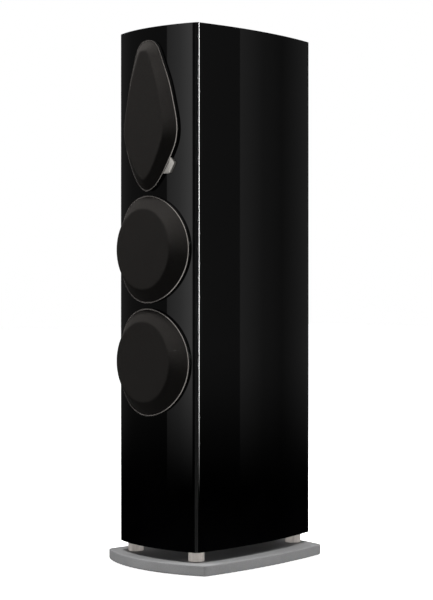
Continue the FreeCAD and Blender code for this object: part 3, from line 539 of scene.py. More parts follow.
# An upright corner begins and is fully turned where the smaller of the facing direction's X and Y
# parts has these sizes. The panels stay below the first.
CORNER_TURN = (0.36, 0.45)
CORNER_ROUGHNESS = 0.38


def corner_share(tree):
    """0 on the broad panels and 1 where the surface turns round an upright corner."""
    facing = direction_parts(tree, "Normal")
    sizes = [math_node(tree, "ABSOLUTE", facing[axis]) for axis in "XY"]
    return between(tree, math_node(tree, "MINIMUM", *sizes), 0.0, 1.0, *CORNER_TURN)


def lacquer():
    """Polished black lacquer: a deep base with faint haze and a trace of orange peel. The upright
    corners are duller, so that the thin line of light along them comes out even.
    """
    material, tree, shader = start_material("cabinet_lacquer")
    vector = object_coordinates(tree)
    haze = noise(tree, vector, 9.0, 3.0)
    panels = between(tree, haze, 0.02, 0.04)
    levels = {"Factor": corner_share(tree), "A": panels, "B": CORNER_ROUGHNESS}
    inputs = {
        "Base Color": colours(tree, haze, (0.0004, 0.0004, 0.0005), (0.0010, 0.0010, 0.0012)),
        "Roughness": add_node(tree, "ShaderNodeMix", levels).outputs["Result"],
        "Normal": bump(tree, noise(tree, vector, 12.0, 1.0), 0.002, 0.05 * MM),
    }
    fill(tree, shader, inputs)
    return material


RIB_SCALE = 330.0


def stretched_cloth():
    """Fine knit: crossed ribs, loose fibres and a faint warm sheen."""
    material, tree, shader = start_material("grille_cloth")
    vector = object_coordinates(tree)
    ribs = []
    for direction in "XZ":
        shape = {"Vector": vector, "Scale": RIB_SCALE, "Distortion": 0.6, "Detail Scale": 2.0}
        wave = add_node(tree, "ShaderNodeTexWave", shape)
        wave.bands_direction = direction
        ribs.append(wave.outputs["Fac"])
    fibres = between(tree, noise(tree, vector, 900.0, 2.0), 0.0, 0.5)
    relief = math_node(tree, "ADD", math_node(tree, "MULTIPLY", *ribs), fibres)
    inputs = {
        "Base Color": colours(tree, relief, (0.019, 0.0178, 0.0168), (0.056, 0.052, 0.049), 0.1, 0.9),
        "Roughness": 0.85,
        "Specular IOR Level": 0.08,
        "Sheen Weight": 0.05,
        "Sheen Roughness": 0.4,
        "Sheen Tint": (1.0, 0.93, 0.88, 1.0),
        "Normal": bump(tree, relief, 0.5, 0.25 * MM),
    }
    fill(tree, shader, inputs)
    return material


def trim_metal_painted_dark_sides():
    """Satin metal on the front of a trim, with painted shade on its sides: its colour and metalness fall to
    near black where it faces sideways.
    """
    material, tree, shader = start_material("bright_trim")
    fine = noise(tree, object_coordinates(tree), 1500.0, 4.0)
    # painted shade: where the surface turns sideways, colour and metalness fall to near black in place of
    # the dark surroundings that the sides would mirror
    front = between(tree, direction_parts(tree, "Normal")["Y"], 0.0, 1.0, -0.3, -0.55)
    metal = colours(tree, fine, (0.50, 0.465, 0.44), (0.66, 0.615, 0.58))
    colour = tree.nodes.new("ShaderNodeMix")
    colour.data_type = "RGBA"
    fill(tree, colour, {"Factor": front, "A": (0.008, 0.008, 0.008, 1.0), "B": metal})
    inputs = {
        "Base Color": colour.outputs["Result"],
        "Roughness": between(tree, fine, 0.16, 0.28),
        "Metallic": front,
        "Specular IOR Level": 0.05,
        "Normal": bump(tree, fine, 0.05, 0.2 * MM),
    }
    fill(tree, shader, inputs)
    return material


GRAINED = {
    "raw_board": dict(dark=(0.30, 0.22, 0.14), light=(0.48, 0.37, 0.25), rough=(0.7, 0.9), grain=300.0),
    "black_plastic": dict(dark=(0.012,) * 3, light=(0.03, 0.03, 0.032), rough=(0.4, 0.6), grain=900.0),
    "damping_foam": dict(dark=(0.03, 0.03, 0.035), light=(0.12, 0.12, 0.13), rough=(0.9, 1.0), relief=0.8),
    "plate_silver": dict(
        dark=(0.22, 0.22, 0.222), light=(0.29, 0.29, 0.293), rough=(0.5, 0.62),
        grain=700.0, relief=0.12, specular=0.15,
    ),
    "brushed_spacer": dict(
        dark=(0.42, 0.385, 0.36), light=(0.56, 0.52, 0.485), rough=(0.42, 0.55),
        grain=300.0, stretch=(1.0, 1.0, 0.03), relief=0.3,
    ),
    "black_steel": dict(dark=(0.02,) * 3, light=(0.06, 0.06, 0.065), rough=(0.3, 0.5), metallic=0.8),
    "rubber_pad": dict(dark=(0.012,) * 3, light=(0.03,) * 3, rough=(0.8, 0.95)),
    "magnet_nickel": dict(
        dark=(0.5, 0.49, 0.47), light=(0.65, 0.64, 0.61), rough=(0.15, 0.3), metallic=1.0,
    ),
    "waveguide_plastic": dict(
        dark=(0.014,) * 3, light=(0.03, 0.03, 0.032), rough=(0.3, 0.45), grain=1200.0,
    ),
    "dome_metal": dict(
        dark=(0.42,) * 3, light=(0.6, 0.6, 0.62), rough=(0.25, 0.4),
        metallic=1.0, grain=1500.0,
    ),
    "motor_steel": dict(dark=(0.35,) * 3, light=(0.5, 0.5, 0.51), rough=(0.3, 0.5), metallic=1.0),
    "ferrite": dict(dark=(0.03,) * 3, light=(0.08, 0.08, 0.085), rough=(0.6, 0.8)),
    "cast_basket": dict(dark=(0.018,) * 3, light=(0.05,) * 3, rough=(0.45, 0.65), grain=1100.0, relief=0.3),
    "surround_rubber": dict(dark=(0.012,) * 3, light=(0.028,) * 3, rough=(0.5, 0.7), grain=800.0),
    "cone_metal": dict(dark=(0.38,) * 3, light=(0.53,) * 3, rough=(0.28, 0.42), metallic=1.0, grain=1200.0),
    "coil_copper": dict(
        dark=(0.45, 0.2, 0.08), light=(0.68, 0.36, 0.18), rough=(0.25, 0.4),
        metallic=1.0, stretch=(1.0, 12.0, 1.0),
    ),
    "spider_cloth": dict(
        dark=(0.38, 0.26, 0.08), light=(0.58, 0.43, 0.17), rough=(0.8, 0.95),
        grain=900.0, relief=0.5,
    ),
    "grille_plastic": dict(dark=(0.012,) * 3, light=(0.028, 0.027, 0.026), rough=(0.5, 0.7)),
    "post_metal": dict(dark=(0.6, 0.42, 0.16), light=(0.82, 0.62, 0.3), rough=(0.15, 0.3), metallic=1.0),
    "nut_metal": dict(dark=(0.42,) * 3, light=(0.6,) * 3, rough=(0.2, 0.35), metallic=1.0, grain=900.0),
    "circuit_board": dict(dark=(0.02, 0.09, 0.04), light=(0.04, 0.16, 0.07), rough=(0.35, 0.5)),
    "capacitor_film": dict(dark=(0.35, 0.05, 0.03), light=(0.55, 0.1, 0.06), rough=(0.25, 0.4)),
}
MATERIALS = {name: grained(name, **settings) for name, settings in GRAINED.items()}
MATERIALS["cabinet_lacquer"] = lacquer()
MATERIALS["grille_cloth"] = stretched_cloth()
MATERIALS["bright_trim"] = trim_metal_painted_dark_sides()
BADGE_METAL = grained(
    "badge_metal",
    dark=(0.86, 0.82, 0.76),
    light=(0.97, 0.93, 0.88),
    rough=(0.16, 0.26),
    metallic=0.85,
    grain=1500.0,
    relief=0.05,
)


def dress_cad_nodes():
    """Gives every CAD node the material of its slot in the record."""
    for entry in frame["record"]["subparts"]:
        node = frame["nodes"][entry["node"]]
        node.data.materials.clear()
        node.data.materials.append(MATERIALS[entry["material_slot"]])


dress_cad_nodes()

# ---- cabinet --------------------------------------------------------------------------------

CORNER_STEPS = 14
SIDE_STEPS = 64
EDGE_STEPS = 8
BODY = "cabinet"


def front_corner_run():
    return arc_run(FRONT_CORNER, FRONT_TANGENT, SIDE_START, CORNER_STEPS)


def rear_corner_run():
    return arc_run(REAR_CORNER, SIDE_END, math.pi / 2.0, CORNER_STEPS)


def side_run(y0, y1, steps=SIDE_STEPS):
    """Points along the right side between two depths, where None stands for a round corner."""
    start = SIDE_START if y0 is None else side_angle(y0)
    end = SIDE_END if y1 is None else side_angle(y1)
    return arc_run(SIDE_CIRCLE, start, end, steps)


def whole_plan():
    """Runs of the cabinet's whole outline, from the front left round to the left side."""
    right = [front_corner_run(), side_run(None, None), rear_corner_run()]
    left = [mirrored(run) for run in reversed(right)]
    front = arc_run(BAFFLE_CIRCLE, -math.pi - FRONT_TANGENT, FRONT_TANGENT, SIDE_STEPS)
    rear = straight_run(right[-1][-1], left[0][0])
    return [front] + right + [rear] + left


def cabinet_top():
    maker = Maker()
    rounded_slab(maker, whole_plan(), TOP_LOW.z, TOP_HIGH.z, 0.0, RIM_ROUND)
    maker.finish("lacquered_top", BODY, "cabinet_lacquer", ("top_panel",))


def cabinet_bottom():
    """Bottom panel with the stepped hole that the port's flange is let into."""
    maker = Maker()
    runs = whole_plan()
    rounded_slab(maker, runs, BOTTOM_LOW.z, BOTTOM_HIGH.z, RIM_ROUND, 0.0, capped=False)
    centre_y = (PORT_LOW.y + PORT_HIGH.y) / 2.0

    def rim(inset, z):
        return [(x - nx * inset, y - ny * inset, z) for run in runs for x, y, nx, ny in run]

    def hole(radius, z):
        turns = [math.atan2(y - centre_y, x) for run in runs for x, y, _, _ in run]
        return [(radius * math.cos(a), centre_y + radius * math.sin(a), z) for a in turns]

    step_z = BOTTOM_LOW.z + PORT_STEP_HEIGHT
    loops = [
        rim(RIM_ROUND, BOTTOM_LOW.z),
        hole(PORT_STEP_RADIUS, BOTTOM_LOW.z),
        hole(PORT_STEP_RADIUS, step_z),
        hole(PORT_HOLE_RADIUS, step_z),
        hole(PORT_HOLE_RADIUS, BOTTOM_HIGH.z),
        rim(0.0, BOTTOM_HIGH.z),
    ]
    maker.chain(loops)
    maker.finish("lacquered_bottom", BODY, "cabinet_lacquer", ("bottom_panel",))


def cabinet_side(side):
    """Curved side wall with its inner face a panel's thickness behind the outer one."""
    maker = Maker()
    inner_circle = (SIDE_CIRCLE[0], SIDE_CIRCLE[1] - SIDE_THICKNESS)
    outer = side_run(BAFFLE_BACK_Y, REAR_INNER_Y)
    centre_y = SIDE_CIRCLE[0][1]
    ends = [math.asin((y - centre_y) / inner_circle[1]) for y in (BAFFLE_BACK_Y, REAR_INNER_Y)]
    inner = [(x, y, -nx, -ny) for x, y, nx, ny in reversed(arc_run(inner_circle, *ends, SIDE_STEPS))]
    runs = [outer, straight_run(outer[-1], inner[0]), inner, straight_run(inner[-1], outer[0])]
    if side < 0:
        runs = [mirrored(run) for run in reversed(runs)]
    rounded_slab(maker, runs, BAFFLE_LOW.z, BAFFLE_HIGH.z, 0.0, 0.0)
    name = "right" if side > 0 else "left"
    maker.finish(f"lacquered_{name}_side", BODY, "cabinet_lacquer", (f"{name}_side_panel",))


def cabinet_rear():
    """Rear panel with the square hole behind the connection plate."""
    maker = Maker()
    right = [side_run(REAR_INNER_Y, None, EDGE_STEPS), rear_corner_run()]
    left = [mirrored(run) for run in reversed(right)]
    half = TERMINAL_HOLE_HALF_SIZE
    levels = (REAR_LOW.z, TERMINAL_Z - half, TERMINAL_Z + half, REAR_HIGH.z)
    for low, high in zip(levels, levels[1:]):
        for run in right + left:
            walls(maker, run, low, high)
    for y, edge, facing in ((REAR_Y, right[-1][-1][0], 1.0), (REAR_INNER_Y, right[0][0][0], -1.0)):
        columns = (-edge, -half, half, edge)
        for i in range(3):
            for k in range(3):
                if i == k == 1:
                    continue
                x0, x1, z0, z1 = columns[i], columns[i + 1], levels[k], levels[k + 1]
                corners = ((x0, y, z0), (x1, y, z0), (x1, y, z1), (x0, y, z1))
                maker.face(corners, [(0.0, facing, 0.0)] * 4)
    square = [(-half, levels[1]), (half, levels[1]), (half, levels[2]), (-half, levels[2])]
    maker.strip([(x, REAR_Y, z) for x, z in square], [(x, REAR_INNER_Y, z) for x, z in square])
    for z, up in ((REAR_LOW.z, -1.0), (REAR_HIGH.z, 1.0)):
        rear_edge = [(half, REAR_Y), (-half, REAR_Y)]
        inner_edge = [(-half, REAR_INNER_Y), (half, REAR_INNER_Y)]
        rim = [(x, y) for run in right for x, y, _, _ in run] + rear_edge
        rim += [(x, y) for run in left for x, y, _, _ in run] + inner_edge
        maker.face([(x, y, z) for x, y in rim], [(0.0, 0.0, up)] * len(rim))
    maker.finish("lacquered_rear", BODY, "cabinet_lacquer", ("rear_panel",))


# ---- front baffle ---------------------------------------------------------------------------

CELL_SAMPLES = 64
CELL_LOOPS = 4
WOOFER_CELL_HALF_HEIGHT = (WOOFER_Z["upper"] - WOOFER_Z["lower"]) / 2.0


def on_baffle(flat, proud=0.0):
    return [(x, baffle_y(x, proud), z) for x, z in flat]


def baffle_facing(flat):
    """Outward directions of the bowed face at the given (x, z)."""
    directions = []
    for x, _ in flat:
        y = baffle_y(x)
        directions.append((x / BAFFLE_RADIUS, (y - BAFFLE_CIRCLE[0][1]) / BAFFLE_RADIUS, 0.0))
    return directions


def cell_border(low, high):
    """Points round one cell of the front face, counter-clockwise from its lower left."""
    across = np.linspace(-FLAT_HALF_WIDTH, FLAT_HALF_WIDTH, CELL_SAMPLES, endpoint=False)
    up = np.linspace(low, high, CELL_SAMPLES, endpoint=False)
    border = [(x, low) for x in across]
    border += [(FLAT_HALF_WIDTH, z) for z in up]
    border += [(-x, high) for x in across]
    border += [(-FLAT_HALF_WIDTH, low + high - z) for z in up]
    return np.array(border)


def baffle_cell(maker, low, high, centre_z, outline, pocket_inset, opening_inset):
    """One cell of the baffle, with the trim's groove and a stepped opening for the driver."""
    border = cell_border(low, high)
    angles = np.arctan2(border[:, 1] - centre_z, border[:, 0])
    points, facing = outline(angles)

    def ring(inset):
        return points - inset * facing

    outer = ring(-GROOVE_GAP)
    loops = []
    for t in np.linspace(0.0, 1.0, CELL_LOOPS + 2):
        loops.append(border + (outer - border) * t)
    for first, second in zip(loops, loops[1:]):
        maker.strip(on_baffle(first), on_baffle(second), baffle_facing(first), baffle_facing(second))
    inner = ring(TRIM_WIDTH + GROOVE_GAP)
    pocket = ring(pocket_inset)
    opening = ring(opening_inset)
    sunk = -TRIM_SUNK - GROOVE_GAP
    groove = [on_baffle(outer), on_baffle(outer, sunk), on_baffle(inner, sunk), on_baffle(inner)]
    maker.chain(groove)
    maker.strip(on_baffle(inner), on_baffle(pocket), baffle_facing(inner), baffle_facing(pocket))
    seat = [(x, SEAT_Y, z) for x, z in pocket]
    mouth = [(x, SEAT_Y, z) for x, z in opening]
    back = [(x, BAFFLE_BACK_Y, z) for x, z in opening]
    narrowed = side_x(BAFFLE_BACK_Y) / FLAT_HALF_WIDTH
    back_border = [(x * narrowed, BAFFLE_BACK_Y, z) for x, z in border]
    maker.chain([on_baffle(pocket), seat, mouth, back])
    maker.strip(back, back_border, [(0.0, 1.0, 0.0)] * len(back), [(0.0, 1.0, 0.0)] * len(back))


def front_baffle():
    """Bowed front: a plain strip below, two woofer cells and the kite cell, and both sides."""
    maker = Maker()
    half = WOOFER_CELL_HALF_HEIGHT
    levels = (
        BAFFLE_LOW.z,
        WOOFER_Z["lower"] - half,
        WOOFER_Z["upper"] - half,
        WOOFER_Z["upper"] + half,
        BAFFLE_HIGH.z,
    )
    across = np.linspace(-FLAT_HALF_WIDTH, FLAT_HALF_WIDTH, CELL_SAMPLES + 1)
    narrowed = side_x(BAFFLE_BACK_Y) / FLAT_HALF_WIDTH
    low_row = [(x, levels[0]) for x in across]
    high_row = [(x, levels[1]) for x in across]
    facing = baffle_facing(low_row)
    maker.strip(on_baffle(low_row), on_baffle(high_row), facing, facing, closed=False)
    low_back = [(x * narrowed, BAFFLE_BACK_Y, z) for x, z in low_row]
    high_back = [(x * narrowed, BAFFLE_BACK_Y, z) for x, z in high_row]
    maker.strip(low_back, high_back, closed=False)
    for name, low, high in (("lower", levels[1], levels[2]), ("upper", levels[2], levels[3])):
        z = WOOFER_Z[name]
        outline = partial(circle_outline, z)
        pocket_inset = TRIM_RADIUS - FLANGE_POCKET_RADIUS
        baffle_cell(maker, low, high, z, outline, pocket_inset, TRIM_RADIUS - BASKET_HOLE_RADIUS)
    baffle_cell(
        maker, levels[3], levels[4], KITE_CENTRE_Z, kite_outline, KITE_POCKET_INSET, KITE_OPENING_INSET
    )
    right = front_corner_run()[:-1] + side_run(None, BAFFLE_BACK_Y, EDGE_STEPS)
    heights = [levels[0]]
    for low, high in zip(levels[1:], levels[2:]):
        heights += list(np.linspace(low, high, CELL_SAMPLES, endpoint=False))
    heights.append(levels[4])
    for run in (right, mirrored(right)):
        for low, high in zip(heights, heights[1:]):
            walls(maker, run, low, high)
    for z, up in ((levels[0], -1.0), (levels[4], 1.0)):
        rim = on_baffle([(x, z) for x in across])
        rim += [(x, y, z) for x, y, _, _ in right[1:]]
        rim += [(x * narrowed, BAFFLE_BACK_Y, z) for x in across[::-1][1:-1]]
        rim += [(x, y, z) for x, y, _, _ in mirrored(right)[:-1]]
        maker.face(rim, [(0.0, 0.0, up)] * len(rim))
    maker.finish("lacquered_baffle", BODY, "cabinet_lacquer", ("front_baffle",))


for make in (cabinet_top, cabinet_bottom, cabinet_rear, front_baffle):
    make()
cabinet_side(1)
cabinet_side(-1)

# ---- trims, grilles and badge ---------------------------------------------------------------

TRIM_SAMPLES = 264
TRIM_ROUND = 0.4 * MM
FACE_ROUND = 3.2 * MM
CLOTH_EDGE_ROUND = 1.2 * MM
ROUND_STEPS = 6
# rows of points on the flat face of a cloth and of the tab, as parts of the way from its centre
INNER_LOOPS = (0.8, 0.55, 0.3)
TAB_FACE_LOOPS = (0.55, 0.25)


def trim_section():
    """The trim's section from its outer foot over its rounded front to its inner foot, as
    (inset, proud, outward part, forward part of the facing direction)."""
    section = [(0.0, -TRIM_SUNK, 1.0, 0.0)]
    for i in range(ROUND_STEPS + 1):
        a = math.pi / 2.0 * i / ROUND_STEPS
        c, s = math.cos(a), math.sin(a)
        section.append((TRIM_ROUND * (1.0 - c), TRIM_PROUD - TRIM_ROUND * (1.0 - s), c, s))
    for i in range(ROUND_STEPS + 1):
        a = math.pi / 2.0 * (1.0 - i / ROUND_STEPS)
        c, s = math.cos(a), math.sin(a)
        section.append((TRIM_WIDTH - TRIM_ROUND * (1.0 - c), TRIM_PROUD - TRIM_ROUND * (1.0 - s), -c, s))
    section.append((TRIM_WIDTH, -TRIM_SUNK, -1.0, 0.0))
    return section


def make_trim(name, node, outline):
    maker = Maker()
    points, facing = outline
    loops = []
    for inset, proud, out, ahead in trim_section():
        flat = points - inset * facing
        forward = np.array(baffle_facing(flat))
        sideways = np.stack((facing[:, 0], np.zeros(len(facing)), facing[:, 1]), axis=1)
        loops.append((on_baffle(flat, proud), out * sideways + ahead * forward))
    for (first, first_facing), (second, second_facing) in zip(loops, loops[1:]):
        maker.strip(first, second, first_facing, second_facing)
    maker.strip(loops[-1][0], loops[0][0])
    maker.finish(name, BODY, "bright_trim", (node,))


def rounded_corner(before, corner, after, reach, steps=ROUND_STEPS):
    """Points of a soft bend that replaces the corner between two straight stretches."""
    before, corner, after = np.array(before), np.array(corner), np.array(after)
    start = corner + (before - corner) / np.linalg.norm(before - corner) * reach
    end = corner + (after - corner) / np.linalg.norm(after - corner) * reach
    bend = []
    for t in np.linspace(0.0, 1.0, steps + 1):
        bend.append((1 - t) ** 2 * start + 2 * t * (1 - t) * corner + t**2 * end)
    return bend


def cloth_section(x, face_inset, face_y, wall):
    """Section of the stretched cloth from its rim to its flat face, as (inset, depth), where the
    trim's inner edge is at x. wall moves it inwards."""
    edge = TRIM_WIDTH + GRILLE_EDGE_GAP + wall
    rim = (edge, baffle_y(x, GRILLE_LIFT))
    shoulder = (edge, baffle_y(x, GRILLE_EDGE_PROUD))
    brow = (face_inset + wall, face_y + wall)
    inside = (face_inset + wall + 2.0 * FACE_ROUND, face_y + wall)
    section = [rim]
    section += rounded_corner(rim, shoulder, brow, CLOTH_EDGE_ROUND)
    section += rounded_corner(shoulder, brow, inside, FACE_ROUND)
    section.append(inside)
    return section


def make_cloth(name, body, node, outline, face_inset, centre_z):
    """Cloth skin with its outer and its inner surface, joined at the rim."""
    maker = Maker()
    points, facing = outline
    face_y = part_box(node)[0].y
    rims = []
    for wall in (0.0, CLOTH_THICKNESS):
        edge = points - (TRIM_WIDTH + GRILLE_EDGE_GAP + wall) * facing
        sections = [cloth_section(x, face_inset, face_y, wall) for x, _ in edge]
        loops = []
        for k in range(len(sections[0])):
            flat = points - np.array([section[k][0] for section in sections])[:, None] * facing
            loops.append([(x, section[k][1], z) for (x, z), section in zip(flat, sections)])
        rim = loops[-1]
        y = face_y + wall
        for share in INNER_LOOPS:
            loops.append([(x * share, y, centre_z + (z - centre_z) * share) for x, _, z in rim])
        maker.chain(loops)
        last = loops[-1]
        centre = (0.0, y, centre_z)
        for i in range(len(last)):
            maker.face((last[i], last[(i + 1) % len(last)], centre))
        rims.append(loops[0])
    maker.strip(rims[0], rims[1])
    skin = maker.finish(name, body, "grille_cloth", (node,), smooth=70.0)


def badge_tab():
    """Small plain tab beside the kite trim, with rounded edges and corners."""
    maker = Maker()
    start = np.array(TAB_START)
    along = np.array(TAB_END) - start
    along /= np.linalg.norm(along)
    out = np.array((-along[1], along[0]))
    corners = [
        start - out * TAB_TUCK,
        start,
        start + along * TAB_UPPER_TAPER + out * TAB_WIDTH,
        start + along * (TAB_LENGTH - TAB_LOWER_TAPER) + out * TAB_WIDTH,
        start + along * TAB_LENGTH,
        start + along * TAB_LENGTH - out * TAB_TUCK,
    ]
    outline = [corners[0]]
    for before, corner, after in zip(corners, corners[1:], corners[2:]):
        outline += rounded_corner(before, corner, after, TAB_CORNER_REACH)
    outline.append(corners[-1])
    outline = np.array(outline)
    middle = outline.mean(axis=0)
    rims = [(1.0, 0.0)]
    for i in range(ROUND_STEPS + 1):
        a = math.pi / 2.0 * i / ROUND_STEPS
        shrink = TAB_ROUND * (1.0 - math.cos(a)) / (TAB_WIDTH / 2.0)
        rims.append((1.0 - shrink, TAB_PROUD - TAB_ROUND * (1.0 - math.sin(a))))
    rims += [(share, TAB_PROUD) for share in TAB_FACE_LOOPS]
    loops = [on_baffle(middle + (outline - middle) * share, proud) for share, proud in rims]
    maker.chain(loops)
    maker.face(loops[-1])
    maker.face(loops[0])
    maker.finish("badge", BODY, "bright_trim", ("badge_tab",), smooth=50.0, material=BADGE_METAL)


def trims_and_grilles():
    for name, z in WOOFER_Z.items():
        outline = even_circle(z, TRIM_SAMPLES)
        make_trim(f"{name}_trim_ring", f"{name}_woofer_trim", outline)
        body = f"{name}_woofer_grille"
        face_inset = TRIM_RADIUS - GRILLE_FACE_RADIUS
        node = f"{name}_woofer_grille_cloth"
        skin = f"{name}_grille_skin"
        make_cloth(skin, body, node, outline, face_inset, z)
    outline = even_kite(TRIM_SAMPLES)
    make_trim("kite_trim_ring", "array_trim", outline)
    node = "array_grille_cloth"
    inset = KITE_SKIRT_INSET
    skin = "kite_grille_skin"
    make_cloth(skin, "array_grille", node, outline, inset, KITE_CENTRE_Z)


trims_and_grilles()
badge_tab()

# ---- woofer suspensions ---------------------------------------------------------------------

TURN_STEPS = 96
ROLL_STEPS = 16
STEPS_PER_WAVE = 4


def turned_loops(section, z):
    """Rows of points round a driver's axis, one for each (radius, depth) of the section."""
    loops = []
    for radius, y in section:
        row = []
        for a in np.linspace(0.0, 2.0 * math.pi, TURN_STEPS, endpoint=False):
            row.append((radius * math.cos(a), y, z + radius * math.sin(a)))
        loops.append(row)
    return loops


def suspension(name, node, driver, section, inner_radius, outer_radius, slot):
    """Turned ring that meets the cone at its inner edge and the cabinet at its outer edge."""
    maker = Maker()
    z = WOOFER_Z[driver]
    loops = turned_loops(section, z)
    maker.chain(loops + loops[:1])
    piece = maker.finish(name, None, slot, (node,))
    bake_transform(piece)


def surround_section():
    """Half-round roll with a flat landing on each side."""
    flat = FLANGE_FRONT_Y
    middle = (ROLL_OUTER + ROLL_INNER) / 2.0
    half = (ROLL_OUTER - ROLL_INNER) / 2.0
    inner_half = half - SURROUND_THICKNESS
    front = [(ROLL_INNER - INNER_LANDING, flat - SURROUND_THICKNESS)]
    back = [(ROLL_INNER - INNER_LANDING, flat)]
    for a in np.linspace(math.pi, 0.0, ROLL_STEPS + 1):
        c, s = math.cos(a), math.sin(a)
        front.append((middle + half * c, flat - SURROUND_THICKNESS - ROLL_HEIGHT * s))
        back.append((middle + inner_half * c, flat - ROLL_HEIGHT * s))
    front.append((ROLL_OUTER + OUTER_LANDING, flat - SURROUND_THICKNESS))
    back.append((ROLL_OUTER + OUTER_LANDING, flat))
    return front + back[::-1]


def spider_section():
    """Corrugated cloth disc with a flat landing on the basket's shelf."""
    front = []
    for r in np.linspace(SPIDER_INNER, SPIDER_WAVES_END, SPIDER_WAVES * STEPS_PER_WAVE + 1):
        turn = math.pi * SPIDER_WAVES * (r - SPIDER_INNER) / (SPIDER_WAVES_END - SPIDER_INNER)
        front.append((r, SPIDER_Y + SPIDER_WAVE_HEIGHT * math.cos(turn)))
    front.append((SPIDER_OUTER, front[-1][1]))
    return front + [(r, y + SPIDER_THICKNESS) for r, y in front[::-1]]


# the piece's and the CAD node's endings, the section, the radii between which it bends, and the slot
SUSPENSIONS = (
    ("roll_surround", "surround", surround_section(), ROLL_INNER, ROLL_OUTER, "surround_rubber"),
    ("spider_disc", "spider", spider_section(), SPIDER_HELD, SPIDER_WAVES_END, "spider_cloth"),
)
for driver in WOOFER_Z:
    for piece, node, *settings in SUSPENSIONS:
        suspension(f"{driver}_{piece}", f"{driver}_woofer_{node}", driver, *settings)

# ---- camera and light -----------------------------------------------------------------------

CAMERA_AZIMUTH = math.radians(47.8)
CAMERA_DISTANCE = 3.672
CAMERA_SIDEWAYS = -0.0197
CAMERA_HEIGHT = 0.590
CAMERA_LENS = 103.93
CAMERA_SHIFT_Y = -0.0335


def make_camera():
    """Level camera, to the right of the front, with the shift that frames the object."""
    across = Vector((math.cos(CAMERA_AZIMUTH), math.sin(CAMERA_AZIMUTH), 0.0))
    away = Vector((math.sin(CAMERA_AZIMUTH), -math.cos(CAMERA_AZIMUTH), 0.0))
    place = across * CAMERA_SIDEWAYS + away * CAMERA_DISTANCE
    data = bpy.data.cameras.new("camera")
    data.lens = CAMERA_LENS
    data.shift_y = CAMERA_SHIFT_Y
    data.clip_end = 60.0
    camera = bpy.data.objects.new("camera", data)
    camera.location = (place.x, place.y + MIDDLE_Y, CAMERA_HEIGHT)
    camera.rotation_euler = (math.pi / 2, 0.0, CAMERA_AZIMUTH)
    scene.collection.objects.link(camera)
    scene.camera = camera


# What the studio looks like in reflections: how bright it is between two azimuths, from its left
# to its right, in degrees from straight ahead of the speaker's front, positive to its right.
STUDIO_GLOW = (
    (-180.0, -148.0, 0.10, 0.10),
    (-148.0, -120.0, 0.45, 0.95),
    (-120.0, -72.0, 0.10, 0.06),
    (-72.0, -32.3, 0.06, 0.085),
    (-32.3, -21.0, 0.35, 0.57),
    (-21.0, -10.4, 0.57, 0.95),
    (-10.4, 109.2, 0.07, 0.07),
    (109.2, 113.2, 0.07, 8.0),
    (113.2, 115.2, 285.0, 285.0),
    (115.2, 119.2, 8.0, 0.13),
    (119.2, 142.3, 0.13, 0.09),
    (142.3, 152.0, 0.23, 0.10),
    (152.0, 161.0, 0.10, 0.055),
    (161.0, 180.0, 0.055, 0.12),
)
# Heights of a reflected direction, as parts of 1, between which each layer of the glow comes in:
# the floor's bounce below, the soft boxes in the middle, and the pale ceiling above.
BOUNCE = (-0.156, -0.20, 0.9)
BOXES_LOWER_EDGE = (-0.125, -0.035, 1.0)
BOXES_UPPER_EDGE = (0.38, 0.26, 1.0)
CEILING = (0.28, 0.46, 0.6)
# the bounce and the ceiling come from this many soft boxes, and keep a part of their level between
OUTER_BOXES = 6.0
OUTER_SHADE = 0.2
DIFFUSE_LEVEL = 0.1
WHITE = (1.0, 1.0, 1.0, 1.0)

FLOOR_REACH = 14.0
FLOOR_GLOW = 0.95
LOW_LAMP_DISTANCE = 1.5
LOW_LAMP_HEIGHT = 0.05
LOW_LAMP_POWER = 0.17
LOW_LAMP_SPREAD = 16.0
LOW_LAMP_SIZE = (0.6, 0.06)
LOW_LAMP_TARGET = (0.0, 0.0, 0.03)
# name, place, target, width and height in metres, and power in watts
LAMPS = (
    ("near_lamp", (-0.35, -0.62, 2.1), (0.0, -0.2, 0.7), 0.7, 0.5, 3.3),
    ("top_lamp", (-0.2, -0.95, 4.2), (-0.2, -0.95, 0.0), 1.6, 0.5, 148.0),
    ("side_lamp", (0.55, 0.05, 4.2), (0.55, 0.05, 0.0), 0.4, 0.8, 92.0),
    ("rear_lamp", (0.6, 2.2, 1.5), (0.0, 0.2, 0.3), 0.8, 0.8, 14.0),
)


